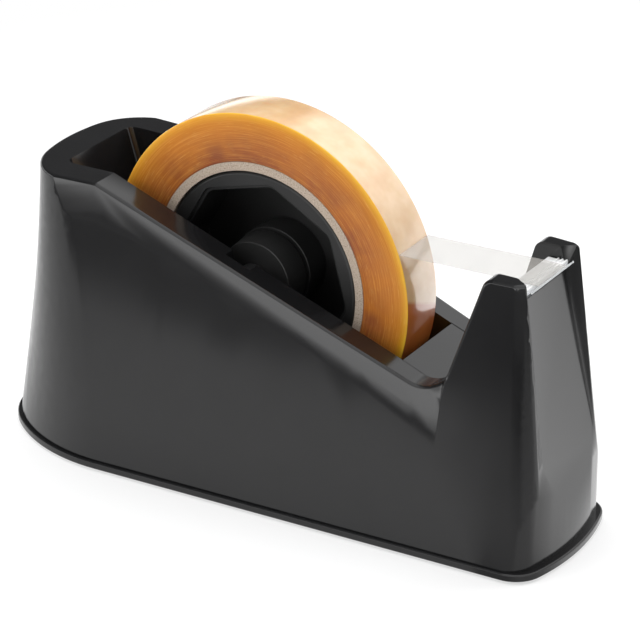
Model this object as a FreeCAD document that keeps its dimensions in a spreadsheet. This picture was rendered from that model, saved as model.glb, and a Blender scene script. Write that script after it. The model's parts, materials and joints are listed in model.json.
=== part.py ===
"""Weighted desktop tape dispenser: a parametric FreeCAD document.

Millimetres.  +X runs from the roll towards the blade, +Y to the far side, +Z up.
The origin is on the desk, under the middle of the base plate.
Every driving size is a cell of the sheet "Sizes"; every sub-part reads it there.
"""
import FreeCAD, Part
import os
import Sketcher

doc = FreeCAD.newDocument("tape_dispenser")

# ---------------------------------------------------------------- driving sizes
SIZES = [
    # base plate, its outline and the foam pad under it
    ("plate_length", 224.0, "overall length of the base plate"),
    ("plate_half_width", 38.0, "half of the base plate's greatest width"),
    ("plate_tail_radius", 31.0, "round tail of the plate"),
    ("plate_haunch_radius", 62.0, "round shoulders beside the tail"),
    ("plate_side_angle", 2.6, "taper of each long side towards the blade, degrees"),
    ("plate_nose_radius", 85.0, "slight bow of the front edge"),
    ("plate_corner_radius", 11.0, "front corners of the plate"),
    ("plate_thickness", 2.6, "thickness of the base plate"),
    ("plate_lip", 1.3, "how far the plate stands proud of the body"),
    ("plate_edge_round", 0.7, "rounding of the plate's edge"),
    ("toe_setback", 1.2, "the body's upright toe further behind the plate's front edge"),
    ("toe_spare", 0.1, "the toe's cutter outside the side walls"),
    ("toe_height", 28.0, "height at which the leaning front face meets the upright toe"),
    ("pad_thickness", 1.0, "foam pad"),
    ("pad_inset", 3.0, "foam pad inside the plate's outline"),
    # outline of the body at the height of the rear deck
    ("crown_rear", 92.8, "rear of the deck from the origin"),
    ("crown_front", 99.5, "front face at deck height from the origin"),
    ("crown_half_width", 32.0, "half width of the deck"),
    ("crown_tail_radius", 70.0, "bow of the deck's rear edge"),
    ("crown_haunch_radius", 22.0, "rear corners of the deck"),
    ("crown_side_angle", 4.25, "taper of each side at deck height, degrees"),
    ("crown_nose_radius", 220.0, "bow of the front face at deck height"),
    ("crown_corner_radius", 4.5, "front corners at deck height"),
    # side profile of the body
    ("deck_height", 106.0, "height of the flat rear deck"),
    ("deck_front", 59.5, "front end of the deck, behind the origin"),
    ("ledge_angle", 20.8, "fall of the sloping ledges, degrees"),
    ("valley_radius", 11.0, "hollow between ledge and fin"),
    ("fin_height", 102.0, "height of the two fins"),
    ("fin_rear", 84.9, "rear edge of the fins at their top, from the origin"),
    ("fin_lean", 17.1, "forward lean of the fins' rear edge, degrees"),
    ("fin_rear_round", 4.0, "rear top corner of the fins"),
    ("wall", 2.4, "moulded wall of the body"),
    ("crest_half", 30.3, "half width between the rims at the front end of the deck"),
    ("crest_taper", 3.05, "taper of each rim towards the blade, degrees"),
    ("shoulder_drop", 19.0, "height of the rounded shoulder below the rim"),
    ("shoulder_tilt", 16.0, "lean of the shoulder at the rim, degrees"),
    ("shoulder_radius", 160.0, "bow of the shoulder"),
    ("shoulder_lift", 15.0, "the shoulder's cutter above the rim"),
    ("shoulder_spare", 0.3, "the shoulder's cutter outside the wall at its foot"),
    ("shoulder_rear", 80.0, "rear end of the shoulder, behind the origin"),
    ("shoulder_front", 71.5, "front end of the shoulder from the origin"),
    ("shoulder_fade", 4.0, "length over which the shoulder ends"),
    ("shoulder_out", 6.5, "how far its cutter moves out over that length"),
    ("rim_round", 1.2, "rounding of the rims, the deck and the fins"),
    # well, reel and axle
    ("reel_back", 7.5, "reel axis behind the origin"),
    ("well_radius", 61.8, "round floor of the well about the reel axis"),
    ("well_rear", 79.5, "rear edge of the well at deck height, behind the origin"),
    ("well_foot", 67.5, "rear wall of the well where it meets the round floor"),
    ("well_half_rear", 19.3, "half width of the well at its rear end"),
    ("well_taper", 1.25, "taper of each well wall towards the blade, degrees"),
    ("well_corner", 3.5, "rear corners of the well"),
    ("axle_diameter", 8.0, "steel axle"),
    ("axle_length", 43.6, "steel axle"),
    ("axle_chamfer", 0.6, "axle ends"),
    ("saddle_slack", 0.25, "axle to saddle, on the radius"),
    ("saddle_end_gap", 0.4, "axle end to the bottom of its saddle"),
    ("saddle_backing", 2.6, "plastic round and behind the saddle groove"),
    ("saddle_mouth", 2.0, "how much wider the groove is at its mouth, each side"),
    ("spacer_diameter", 12.0, "spacer sleeves on the axle"),
    ("spacer_wall_gap", 0.4, "spacer to well wall"),
    ("running_gap", 0.3, "end gap between turning pieces"),
    ("bore_slack", 0.06, "axle to bore, on the radius"),
    # reel: drum for the wide core, boss for the narrow core
    ("core_bore", 76.0, "inner diameter of the card core"),
    ("core_wall", 3.05, "card core"),
    ("tape_width", 19.0, "width of the tape roll"),
    ("roll_diameter", 116.4, "full roll"),
    ("drum_slack", 0.4, "drum to card core, on the radius"),
    ("drum_rib", 0.3, "height of the gripping ribs on the drum"),
    ("drum_lead", 0.8, "bevel at the drum's near end"),
    ("drum_rib_width", 1.6, "gripping ribs"),
    ("drum_ribs", 8, "number of gripping ribs"),
    ("drum_recess", 0.3, "drum face behind the core's edge"),
    ("drum_web", 2.0, "far web of the drum"),
    ("flange_diameter", 80.4, "flange that stops the roll"),
    ("octagon_flats", 62.0, "eight-sided opening of the drum, across flats"),
    ("octagon_turn", 37.5, "turn of the opening, degrees"),
    ("octagon_round", 4.5, "corners of the opening"),
    ("octagon_step", 1.2, "step round the opening's mouth"),
    ("boss_near", 12.0, "near end of the boss from the mid plane"),
    ("boss_nose", 27.0, "boss at its near end, diameter"),
    ("boss_neck", 28.6, "boss at the groove, diameter"),
    ("boss_body", 29.6, "rear part of the boss, diameter"),
    ("boss_groove_near", 2.2, "near side of the groove from the mid plane"),
    ("boss_groove_far", 0.5, "far side of the groove from the mid plane"),
    ("boss_groove_depth", 1.6, "depth of the groove"),
    ("boss_wall", 2.0, "moulded wall of the boss"),
    ("boss_spigot", 24.0, "spigot through the web, diameter"),
    ("boss_tube", 13.0, "tube round the axle, diameter"),
    ("snap_gap", 0.05, "close fits, on the radius"),
    ("cap_diameter", 34.0, "retaining cap behind the web, diameter"),
    ("cap_thickness", 1.8, "retaining cap"),
    # bridge between the fins, blade and film
    ("channel_half_top", 14.8, "half gap between the fins at their top"),
    ("channel_draft", 2.6, "draft of the fins' inner faces, degrees"),
    ("channel_floor", 27.5, "floor of the channel under the bridge"),
    ("hollow_front", 53.0, "top of the hollow under the fins"),
    ("bridge_gap", 0.2, "bridge to fins"),
    ("bridge_wall", 2.0, "moulded wall of the bridge"),
    ("bridge_seam", 52.6, "rear edge of the bridge from the origin"),
    ("tower_rear", 89.0, "rear of the landing from the origin"),
    ("tower_front", 94.9, "front of the landing from the origin"),
    ("landing_height", 95.8, "height of the landing under the blade"),
    ("panel_lean", 11.34, "lean of the front panel, degrees from upright"),
    ("recess_flare", 35.0, "how far the fins turn outward in front of the panel, degrees"),
    ("tower_round", 7.0, "hollow behind the tower"),
    ("blade_thickness", 0.6, "steel blade"),
    ("blade_width", 29.2, "steel blade, along Y"),
    ("blade_rear", 90.4, "rear edge of the blade from the origin"),
    ("blade_bend", 96.9, "where the blade turns up, from the origin"),
    ("blade_reach", 98.3, "tips of the teeth from the origin"),
    ("blade_tip", 97.9, "tips of the teeth above the desk"),
    ("tooth_pitch", 1.46, "pitch of the teeth"),
    ("tooth_depth", 1.2, "depth of the teeth"),
    ("tooth_margin", 0.365, "plain edge at each end of the teeth"),
    ("holder_rear", 89.3, "rear edge of the clamp strip from the origin"),
    ("holder_front", 96.4, "front edge of the clamp strip from the origin"),
    ("holder_width", 29.2, "clamp strip, along Y"),
    ("holder_thickness", 0.9, "clamp strip"),
    ("holder_rib", 0.5, "height of the clamp strip's ribs"),
    ("holder_rib_width", 0.6, "ribs of the clamp strip"),
    ("holder_rib_pitch", 1.5, "pitch of the ribs"),
    ("peg_diameter", 2.0, "pegs of the clamp strip"),
    ("peg_spread", 6.0, "pegs from the mid plane"),
    ("peg_x", 92.0, "pegs from the origin"),
    ("film_width", 19.0, "free strip of tape, along Y"),
    ("film_thickness", 0.2, "free strip of tape"),
    ("film_gap", 0.3, "free strip to the roll and the landing"),
    ("film_peel_angle", 20.9, "where the strip leaves the roll, degrees above level"),
    ("film_end", 98.6, "cut end of the strip from the origin"),
    # ballast, bosses and screws
    ("ballast_length", 112.0, "iron plate in the base"),
    ("ballast_width", 46.0, "iron plate"),
    ("ballast_thickness", 7.0, "iron plate"),
    ("ballast_front", 44.0, "front end of the iron plate from the origin"),
    ("ballast_round", 4.0, "corners of the iron weights"),
    ("block_length", 34.0, "iron block under the tower"),
    ("block_width", 42.0, "iron block"),
    ("block_height", 17.0, "iron block"),
    ("block_rear", 49.0, "rear end of the iron block from the origin"),
    ("ballast_gap", 0.2, "iron weights to the base plate"),
    ("ballast_headroom", 1.0, "iron plate to the underside of the well"),
    ("ballast_hole_rear", 52.0, "rear ballast screw behind the origin"),
    ("ballast_hole_front", 28.0, "front ballast screw from the origin"),
    ("ballast_screw_length", 7.0, "ballast screws under the head"),
    ("screw_diameter", 3.0, "screw shank"),
    ("screw_edge", 0.3, "bevel of the head and the point"),
    ("screw_slot", 1.4, "half length of the cross drive"),
    ("screw_slot_width", 0.8, "cross drive"),
    ("screw_slot_depth", 0.9, "cross drive"),
    ("screw_sink", 0.2, "head below the face of the base plate"),
    ("screw_head_slack", 0.3, "head to its sink, on the radius"),
    ("hole_spare", 2.0, "pilot holes deeper than the screws"),
    ("screw_head", 6.0, "screw head"),
    ("screw_head_height", 1.6, "screw head"),
    ("screw_length", 11.0, "under the head"),
    ("screw_slack", 0.1, "screw to its hole, on the radius"),
    ("post_diameter", 8.0, "screw posts"),
    ("post_rear_x", 94.0, "rear posts behind the origin"),
    ("post_rear_y", 11.0, "rear posts from the mid plane"),
    ("post_front_x", 92.0, "front posts from the origin"),
    ("post_front_y", 13.0, "front posts from the mid plane"),
    ("bridge_post_x", 64.0, "bridge posts from the origin"),
    ("bridge_post_y", 8.0, "bridge posts from the mid plane"),
]

# ------------------------------------------------- values worked out from the sizes
WORKED = [
    ("plate_top", "pad_thickness + plate_thickness"),
    # front of the upright toe, and of the leaning face carried down to the base plate
    ("toe_front", "plate_length / 2 - toe_setback"),
    ("slope_front", "crown_front + plate_lip + (toe_front - plate_lip - crown_front)"
                    " * (deck_height - plate_top) / (deck_height - toe_height)"),
]
# each plan outline: its name, the outline whose radii it takes, its rear and its front
for name, like, rear, front in (("plate", "plate", "plate_length / 2", "plate_length / 2"),
                                ("toe", "plate", "plate_length / 2", "toe_front"),
                                ("slope", "plate", "plate_length / 2", "slope_front"),
                                ("crown", "crown", "crown_rear", "crown_front")):
    half = f"{like}_half_width"
    tail, haunch = f"{like}_tail_radius", f"{like}_haunch_radius"
    nose, corner, slant = f"{like}_nose_radius", f"{like}_corner_radius", f"{like}_side_angle"
    WORKED += [
        # centre of the tail arc, centre of the haunch arc, direction of their joint
        (f"{name}_tail_x", f"{tail} - {rear}"),
        (f"{name}_haunch_x", f"{name}_tail_x + ({haunch} - {tail})"
                             f" * sqrt(1 - pow(({haunch} - {half}) / ({haunch} - {tail}); 2))"),
        (f"{name}_haunch_y", f"{half} - {haunch}"),
        (f"{name}_joint_x", f"({name}_tail_x - {name}_haunch_x) / ({haunch} - {tail})"),
        (f"{name}_joint_y", f"({haunch} - {half}) / ({haunch} - {tail})"),
        # centre of the nose arc, angle and centre of the front corner
        (f"{name}_nose_x", f"{front} - {nose}"),
        (f"{name}_side_reach", f"{haunch} + sin({slant}) * {name}_haunch_x"
                               f" + cos({slant}) * {name}_haunch_y"),
        (f"{name}_corner_sine", f"({name}_side_reach - {corner} - sin({slant}) * {name}_nose_x)"
                                f" / ({nose} - {corner})"),
        (f"{name}_corner_angle", f"asin({name}_corner_sine) / 1 deg - {slant}"),
        (f"{name}_corner_x", f"{name}_nose_x + ({nose} - {corner}) * cos({name}_corner_angle)"),
        (f"{name}_corner_y", f"({nose} - {corner}) * sin({name}_corner_angle)"),
    ]
WORKED += [
    # the iron plate, the well's floor and a full roll stand one above the other under the axle
    ("reel_height", "plate_top + ballast_gap + ballast_thickness + ballast_headroom + wall"
                    " + well_radius"),
    ("core_outer", "core_bore + 2 * core_wall"),
    # where the line of the ledges would meet the line of the fins' rear edge
    ("valley_x", "(fin_rear - (fin_height - deck_height + deck_front * tan(ledge_angle))"
                 " * tan(fin_lean)) / (1 + tan(ledge_angle) * tan(fin_lean))"),
    ("valley_z", "deck_height - (valley_x + deck_front) * tan(ledge_angle)"),
    ("valley_turn", "90 - fin_lean + ledge_angle"),
    ("valley_run", "valley_radius * tan(valley_turn / 2)"),
    ("fin_run", "fin_rear_round * tan((90 - fin_lean) / 2)"),
    # the same for the ledges' line and the tower's rear wall
    ("tower_x", "(tower_rear - (landing_height - deck_height + deck_front * tan(ledge_angle))"
                " * tan(fin_lean)) / (1 + tan(ledge_angle) * tan(fin_lean))"),
    ("tower_z", "deck_height - (tower_x + deck_front) * tan(ledge_angle)"),
    ("seam_z", "deck_height - (bridge_seam + deck_front) * tan(ledge_angle)"),
    # the strip of tape leaves the roll here
    ("peel_x", "(roll_diameter / 2 + film_gap) * cos(film_peel_angle) - reel_back"),
    ("peel_z", "(roll_diameter / 2 + film_gap) * sin(film_peel_angle) + reel_height"),
    ("landing_top", "landing_height + blade_thickness + holder_thickness + holder_rib"),
    ("drum_far", "tape_width / 2 + running_gap"),
    ("reel_far", "drum_far + drum_web + cap_thickness"),
    ("well_half_axle", "well_half_rear - (well_rear - reel_back) * tan(well_taper)"),
]

sheet = doc.addObject("Spreadsheet::Sheet", "Sizes")
for row, (alias, number, note) in enumerate(SIZES, start=1):
    sheet.set(f"A{row}", alias)
    sheet.set(f"B{row}", str(number))
    sheet.set(f"C{row}", note)
    sheet.setAlias(f"B{row}", alias)
doc.recompute()

worked = doc.addObject("Spreadsheet::Sheet", "Worked")
HOME = {alias: "Sizes" for alias, _, _ in SIZES}


def size(formula):
    """A formula in the sheets' words as a FreeCAD expression."""
    out, word = [], ""
    for mark in formula + " ":
        if mark.isalnum() or mark == "_":
            word += mark
            continue
        out.append(f"{HOME[word]}.{word}" if word in HOME else word)
        out.append(mark)
        word = ""
    return "".join(out).strip()


for row, (alias, formula) in enumerate(WORKED, start=1):
    worked.set(f"A{row}", alias)
    worked.set(f"B{row}", "=" + size(formula))
    worked.setAlias(f"B{row}", alias)
    HOME[alias] = "Worked"
    doc.recompute()


def value(formula):
    """The number that a formula gives now."""
    return float(sheet.evalExpression(size(formula)))


def bind(thing, prop, formula):
    """Tie a property to the sheets."""
    thing.setExpression(prop, size(formula))


# ---------------------------------------------------------------- drawing helpers
def new_body(name):
    body = doc.addObject("PartDesign::Body", name)
    body.Label = name
    return body


def new_sketch(body, name, role, offset=None):
    """A sketch on one of the body's own origin planes, moved along its normal."""
    sketch = body.newObject("Sketcher::SketchObject", name)
    plane = [f for f in body.Origin.OriginFeatures if f.Role == role][0]
    sketch.AttachmentSupport = [(plane, "")]
    sketch.MapMode = "FlatFace"
    if offset:
        bind(sketch, "AttachmentOffset.Base.z", offset)
    return sketch


def pin(sketch, geo, pos, x, y):
    """Hold a point of the sketch at two formulas."""
    for kind, axis, formula in (("DistanceX", -2, x), ("DistanceY", -1, y)):
        if formula == "0":
            sketch.addConstraint(Sketcher.Constraint("PointOnObject", geo, pos, axis))
            continue
        at = sketch.addConstraint(Sketcher.Constraint(kind, -1, 1, geo, pos, value(formula)))
        bind(sketch, f"Constraints[{at}]", formula)


def draw_loop(sketch, corners):
    """A closed outline.  Each corner is (x, y) or (x, y, radius, turn): with a radius,
    the stretch to the next corner is an arc that turns left (1) or right (-1)."""
    ends = []
    count = len(corners)
    for i, corner in enumerate(corners):
        after = corners[(i + 1) % count]
        a = FreeCAD.Vector(value(corner[0]), value(corner[1]), 0)
        b = FreeCAD.Vector(value(after[0]), value(after[1]), 0)
        if len(corner) == 2:
            geo = sketch.addGeometry(Part.LineSegment(a, b), False)
            ends.append((geo, 1, 2))
            continue
        radius, turn = value(corner[2]), corner[3]
        half = (b - a).Length / 2
        across = FreeCAD.Vector(a.y - b.y, b.x - a.x, 0).normalize()
        centre = (a + b) / 2 + across * turn * (max(radius ** 2 - half ** 2, 0) ** 0.5)
        circle = Part.Circle(centre, FreeCAD.Vector(0, 0, 1), radius)
        first, last = (a, b) if turn > 0 else (b, a)
        arc = Part.ArcOfCircle(circle, circle.parameter(first), circle.parameter(last))
        geo = sketch.addGeometry(arc, False)
        ends.append((geo, 1, 2) if turn > 0 else (geo, 2, 1))
        at = sketch.addConstraint(Sketcher.Constraint("Radius", geo, radius))
        bind(sketch, f"Constraints[{at}]", corner[2])
    for i, (geo, start, end) in enumerate(ends):
        next_geo, next_start, _ = ends[(i + 1) % count]
        sketch.addConstraint(Sketcher.Constraint("Coincident", geo, end, next_geo, next_start))
        pin(sketch, geo, start, corners[i][0], corners[i][1])


def draw_circle(sketch, x, y, radius):
    centre = FreeCAD.Vector(value(x), value(y), 0)
    circle = Part.Circle(centre, FreeCAD.Vector(0, 0, 1), value(radius))
    geo = sketch.addGeometry(circle, False)
    at = sketch.addConstraint(Sketcher.Constraint("Radius", geo, value(radius)))
    bind(sketch, f"Constraints[{at}]", radius)
    pin(sketch, geo, 3, x, y)


def draw_box(sketch, x0, x1, y0, y1):
    draw_loop(sketch, [(x0, y0), (x1, y0), (x1, y1), (x0, y1)])


def draw_plan(sketch, name, inset="0", like="plate"):
    """The body's plan outline: a tail arc, two haunches, two straight tapering sides,
    two corner arcs and a bowed nose, all tangent, drawn inset from the named outline."""
    tail = f"({like}_tail_radius - ({inset}))"
    haunch = f"({like}_haunch_radius - ({inset}))"
    corner = f"({like}_corner_radius - ({inset}))"
    nose = f"({like}_nose_radius - ({inset}))"
    slant, bend = f"{like}_side_angle", f"{name}_corner_angle"
    half = [
        (f"{name}_tail_x + {tail} * {name}_joint_x", f"{tail} * {name}_joint_y"),
        (f"{name}_haunch_x + {haunch} * sin({slant})", f"{name}_haunch_y + {haunch} * cos({slant})"),
        (f"{name}_corner_x + {corner} * sin({slant})", f"{name}_corner_y + {corner} * cos({slant})"),
        (f"{name}_corner_x + {corner} * cos({bend})", f"{name}_corner_y + {corner} * sin({bend})"),
    ]
    low = [(x, f"-({y})") for x, y in half]
    draw_loop(sketch, [
        (*low[0], haunch, 1), low[1], (*low[2], corner, 1), (*low[3], nose, 1),
        (*half[3], corner, 1), half[2], (*half[1], haunch, 1), (*half[0], tail, 1),
    ])


def pad(body, name, sketch, length, middle=False, backwards=False):
    feature = body.newObject("PartDesign::Pad", name)
    feature.Profile = sketch
    feature.Midplane = middle
    feature.Reversed = backwards
    bind(feature, "Length", length)
    doc.recompute()
    return feature


def pocket(body, name, sketch, length=None, backwards=False):
    """Cut with a sketch: a given depth, or right through both ways."""
    doc.recompute()
    before = body.Shape.Volume
    feature = body.newObject("PartDesign::Pocket", name)
    feature.Profile = sketch
    if length is None:
        feature.Type = "ThroughAll"
        feature.Midplane = True
    else:
        feature.Reversed = backwards
        bind(feature, "Length", length)
    doc.recompute()
    if not body.Shape.Volume < before - 1e-6:
        raise RuntimeError(f"{name} cuts nothing")
    return feature


def loft(body, name, sketches):
    feature = body.newObject("PartDesign::AdditiveLoft", name)
    feature.Profile = sketches[0]
    feature.Sections = sketches[1:]
    feature.Ruled = True
    doc.recompute()
    return feature


def turned(body, name, outline):
    """Turn (radius, y) corners about the body's own Y axis."""
    sketch = new_sketch(body, f"{name}_sketch", "XY_Plane")
    draw_loop(sketch, outline)
    feature = body.newObject("PartDesign::Revolution", name)
    feature.Profile = sketch
    feature.ReferenceAxis = (sketch, ["V_Axis"])
    feature.Angle = 360
    doc.recompute()
    return feature


def move(thing, x="0", y="0", z="0"):
    for axis, formula in (("x", x), ("y", y), ("z", z)):
        if formula != "0":
            bind(thing, f"Placement.Base.{axis}", formula)


def edges_of(shape, test):
    return [i for i, edge in enumerate(shape.Edges, start=1) if test(edge)]


def round_edges(body, name, radius, test, kind="Fillet"):
    """Round (or chamfer) every edge of a body that passes a test."""
    doc.recompute()
    base = body.Tip
    chosen = [f"Edge{i}" for i in edges_of(base.Shape, test)]
    if not chosen:
        raise RuntimeError(f"{name} finds no edge")
    feature = body.newObject(f"PartDesign::{kind}", name)
    feature.Base = (base, chosen)
    bind(feature, "Radius" if kind == "Fillet" else "Size", radius)
    doc.recompute()
    return feature


def boolean(kind, name, base, tools):
    """Part::Cut or Part::MultiFuse of whole objects."""
    tool = tools[0]
    if len(tools) > 1:
        tool = doc.addObject("Part::MultiFuse", f"{name}_tools")
        tool.Shapes = tools
    if kind == "fuse":
        result = doc.addObject("Part::MultiFuse", name)
        result.Shapes = [base] + tools
    else:
        result = doc.addObject(f"Part::{kind}", name)
        result.Base = base
        result.Tool = tool
    result.Label = name
    doc.recompute()
    return result


def cylinder(name, x, y, z, radius, height):
    """An upright cylinder standing at a point."""
    item = doc.addObject("Part::Cylinder", name)
    bind(item, "Radius", radius)
    bind(item, "Height", height)
    move(item, x, y, z)
    return item


def mitre(x, z, turn_in, turn_out, depth):
    """A corner of an outline moved to its right by a depth, between two headings."""
    share = f"(({depth}) / (1 + cos(({turn_out}) - ({turn_in}))))"
    return (f"({x}) + {share} * (sin({turn_in}) + sin({turn_out}))",
            f"({z}) - {share} * (cos({turn_in}) + cos({turn_out}))")


FAR = "plate_length"
ABOVE = "(deck_height + plate_length / 10)"
SLOPE = "(0 - ledge_angle)"
RISE = "(90 - fin_lean)"


def slope_at(x, drop="0"):
    """Height of the ledges' plane at x, moved down square to the plane."""
    return f"deck_height - (({x}) + deck_front) * tan(ledge_angle) - ({drop}) / cos(ledge_angle)"


# ---------------------------------------------------------------- body shell
def draw_toe(sketch, inset):
    """All that lies in front of the upright toe's bowed nose and its two corners."""
    corner, nose = f"(plate_corner_radius - {inset})", f"(plate_nose_radius - {inset})"
    side_x = f"(toe_corner_x + {corner} * sin(plate_side_angle))"
    side_y = f"(toe_corner_y + {corner} * cos(plate_side_angle))"
    front_x = f"(toe_corner_x + {corner} * cos(toe_corner_angle))"
    front_y = f"(toe_corner_y + {corner} * sin(toe_corner_angle))"
    draw_loop(sketch, [
        (side_x, f"0 - {side_y}", corner, 1), (front_x, f"0 - {front_y}", nose, 1),
        (front_x, front_y, corner, 1), (side_x, side_y),
        (side_x, FAR), (FAR, FAR), (FAR, f"0 - {FAR}"), (side_x, f"0 - {FAR}"),
    ])


def plan_loft(name, low_inset, high_inset):
    """The tapering form between the base plate and the deck, drawn inset: its front
    leans down from the deck and ends in an upright toe."""
    body = new_body(name)
    low = new_sketch(body, f"{name}_low", "XY_Plane", "plate_top")
    draw_plan(low, "slope", low_inset)
    high = new_sketch(body, f"{name}_high", "XY_Plane", "deck_height")
    draw_plan(high, "crown", high_inset, like="crown")
    loft(body, f"{name}_loft", [low, high])
    toe = new_sketch(body, f"{name}_toe", "XY_Plane")
    draw_toe(toe, f"({low_inset} - toe_spare)")
    pocket(body, f"{name}_toe_cut", toe)
    return body


def wall_half(x, z):
    """Half width of the closed form between its straight tapering sides."""
    lines = [f"(({name}_side_reach - {inset} - ({x}) * sin({name}_side_angle)) / cos({name}_side_angle))"
             for name, inset in (("plate", "plate_lip"), ("crown", "0"))]
    share = f"((({z}) - plate_top) / (deck_height - plate_top))"
    return f"({lines[0]} * (1 - {share}) + {lines[1]} * {share})"


def make_shoulder_cut():
    """What the rounded shoulder under one rim takes away from the side wall."""
    body = new_body("shoulder_cut")
    sections = []
    stations = (("rear", "0 - shoulder_rear", "deck_height", "0"),
                ("kink", "0 - deck_front", "deck_height", "0"),
                ("front", "shoulder_front", slope_at("shoulder_front"), "0"),
                ("end", "shoulder_front + shoulder_fade", slope_at("shoulder_front"), "shoulder_out"))
    for place, x, rim, out in stations:
        foot = f"{rim} - shoulder_drop"
        top_y = (f"crest_half - ({x} + deck_front) * tan(crest_taper)"
                 f" - shoulder_lift * tan(shoulder_tilt) + {out}")
        foot_y = f"{wall_half(x, foot)} + shoulder_spare + {out}"
        sketch = new_sketch(body, f"shoulder_{place}", "YZ_Plane", x)
        draw_loop(sketch, [
            (top_y, f"{rim} + shoulder_lift", "shoulder_radius", -1),
            (foot_y, foot),
            (FAR, foot),
            (FAR, f"{rim} + shoulder_lift"),
        ])
        sections.append(sketch)
    loft(body, "shoulder_loft", sections)
    return body


def make_outer_form():
    """The closed outside of the body: deck, ledges, hollow valley and fins."""
    body = plan_loft("outer_form", "plate_lip", "0")
    side = new_sketch(body, "side_profile", "XZ_Plane")
    draw_loop(side, [
        ("0 - deck_front", "deck_height"),
        ("valley_x - valley_run * cos(ledge_angle)", "valley_z + valley_run * sin(ledge_angle)",
         "valley_radius", 1),
        ("valley_x + valley_run * sin(fin_lean)", "valley_z + valley_run * cos(fin_lean)"),
        ("fin_rear - fin_run * sin(fin_lean)", "fin_height - fin_run * cos(fin_lean)",
         "fin_rear_round", -1),
        ("fin_rear + fin_run", "fin_height"),
        (FAR, "fin_height"),
        (FAR, ABOVE),
        ("0 - deck_front", ABOVE),
    ])
    pocket(body, "side_cut", side)
    return body


def make_cavity():
    """The hollow that the moulded walls would enclose, before wells and posts."""
    body = plan_loft("cavity", "plate_lip + wall", "wall")
    side = new_sketch(body, "cavity_profile", "XZ_Plane")
    reach = "(deck_height - wall / cos(ledge_angle) - hollow_front) / tan(ledge_angle)"
    draw_loop(side, [
        (f"0 - {FAR}", "deck_height - wall"),
        ("(wall - wall / cos(ledge_angle)) / tan(ledge_angle) - deck_front", "deck_height - wall"),
        (f"{reach} - deck_front", "hollow_front"),
        (FAR, "hollow_front"),
        (FAR, ABOVE),
        (f"0 - {FAR}", ABOVE),
    ])
    pocket(body, "cavity_roof", side)
    return body


def make_well_form(name, grow, corner):
    """The well: leaning rear wall, round floor about the reel axis, tapering sides."""
    body = new_body(name)
    radius = f"(well_radius + {grow})"
    foot = f"(well_foot + {grow} - reel_back)"
    foot_z = f"(reel_height - sqrt(pow({radius}; 2) - pow({foot}; 2)))"
    lean = f"((well_rear - well_foot) / (deck_height - {foot_z}))"
    side = new_sketch(body, f"{name}_side", "XZ_Plane")
    draw_loop(side, [
        (f"0 - well_foot - {grow} + {foot_z} * {lean}", "0"),
        (f"0 - well_rear - {grow} - (plate_length / 10) * {lean}", ABOVE),
        (f"{radius} - reel_back", ABOVE),
        (f"{radius} - reel_back", "0"),
    ])
    pad(body, f"{name}_pad", side, "2 * plate_half_width", middle=True)
    plan = new_sketch(body, f"{name}_plan", "XY_Plane")
    for sign in ("", "0 - "):
        near_rear = f"well_half_rear + {grow} + (plate_length - well_rear) * tan(well_taper)"
        near_front = f"well_half_rear + {grow} - (plate_length + well_rear) * tan(well_taper)"
        draw_loop(plan, [
            (f"0 - {FAR}", f"{sign}({near_rear})"),
            (FAR, f"{sign}({near_front})"),
            (FAR, f"{sign}({FAR})"),
            (f"0 - {FAR}", f"{sign}({FAR})"),
        ])
    pocket(body, f"{name}_sides", plan)
    middle = value("well_half_rear") / 2
    round_edges(body, f"{name}_corners", corner, lambda edge: (
        edge.CenterOfMass.x < value("0 - well_foot / 2") and abs(edge.CenterOfMass.y) > middle
        and edge.BoundBox.ZLength > value("deck_height")))
    floor = new_sketch(body, f"{name}_floor", "XZ_Plane")
    draw_loop(floor, [
        (f"{radius} - reel_back", "reel_height", radius, -1),
        (f"0 - reel_back - {foot}", foot_z),
        (f"0 - {FAR}", foot_z),
        (f"0 - {FAR}", f"0 - {FAR}"),
        (FAR, f"0 - {FAR}"),
        (FAR, "reel_height"),
    ])
    pocket(body, f"{name}_round", floor)
    return body


def channel_sides(body, name, spare):
    """Cut a body to the drafted gap between the fins, less or more on each side."""
    sides = new_sketch(body, f"{name}_sides", "YZ_Plane")
    top = f"channel_half_top + ({spare}) - (plate_length / 10) * tan(channel_draft)"
    foot = f"channel_half_top + ({spare}) + fin_height * tan(channel_draft)"
    for sign in ("", "0 - "):
        draw_loop(sides, [
            (f"{sign}({foot})", "0"),
            (f"{sign}({top})", "fin_height + plate_length / 10"),
            (f"{sign}({FAR})", "fin_height + plate_length / 10"),
            (f"{sign}({FAR})", "0"),
        ])
    pocket(body, f"{name}_trim", sides)


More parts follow.
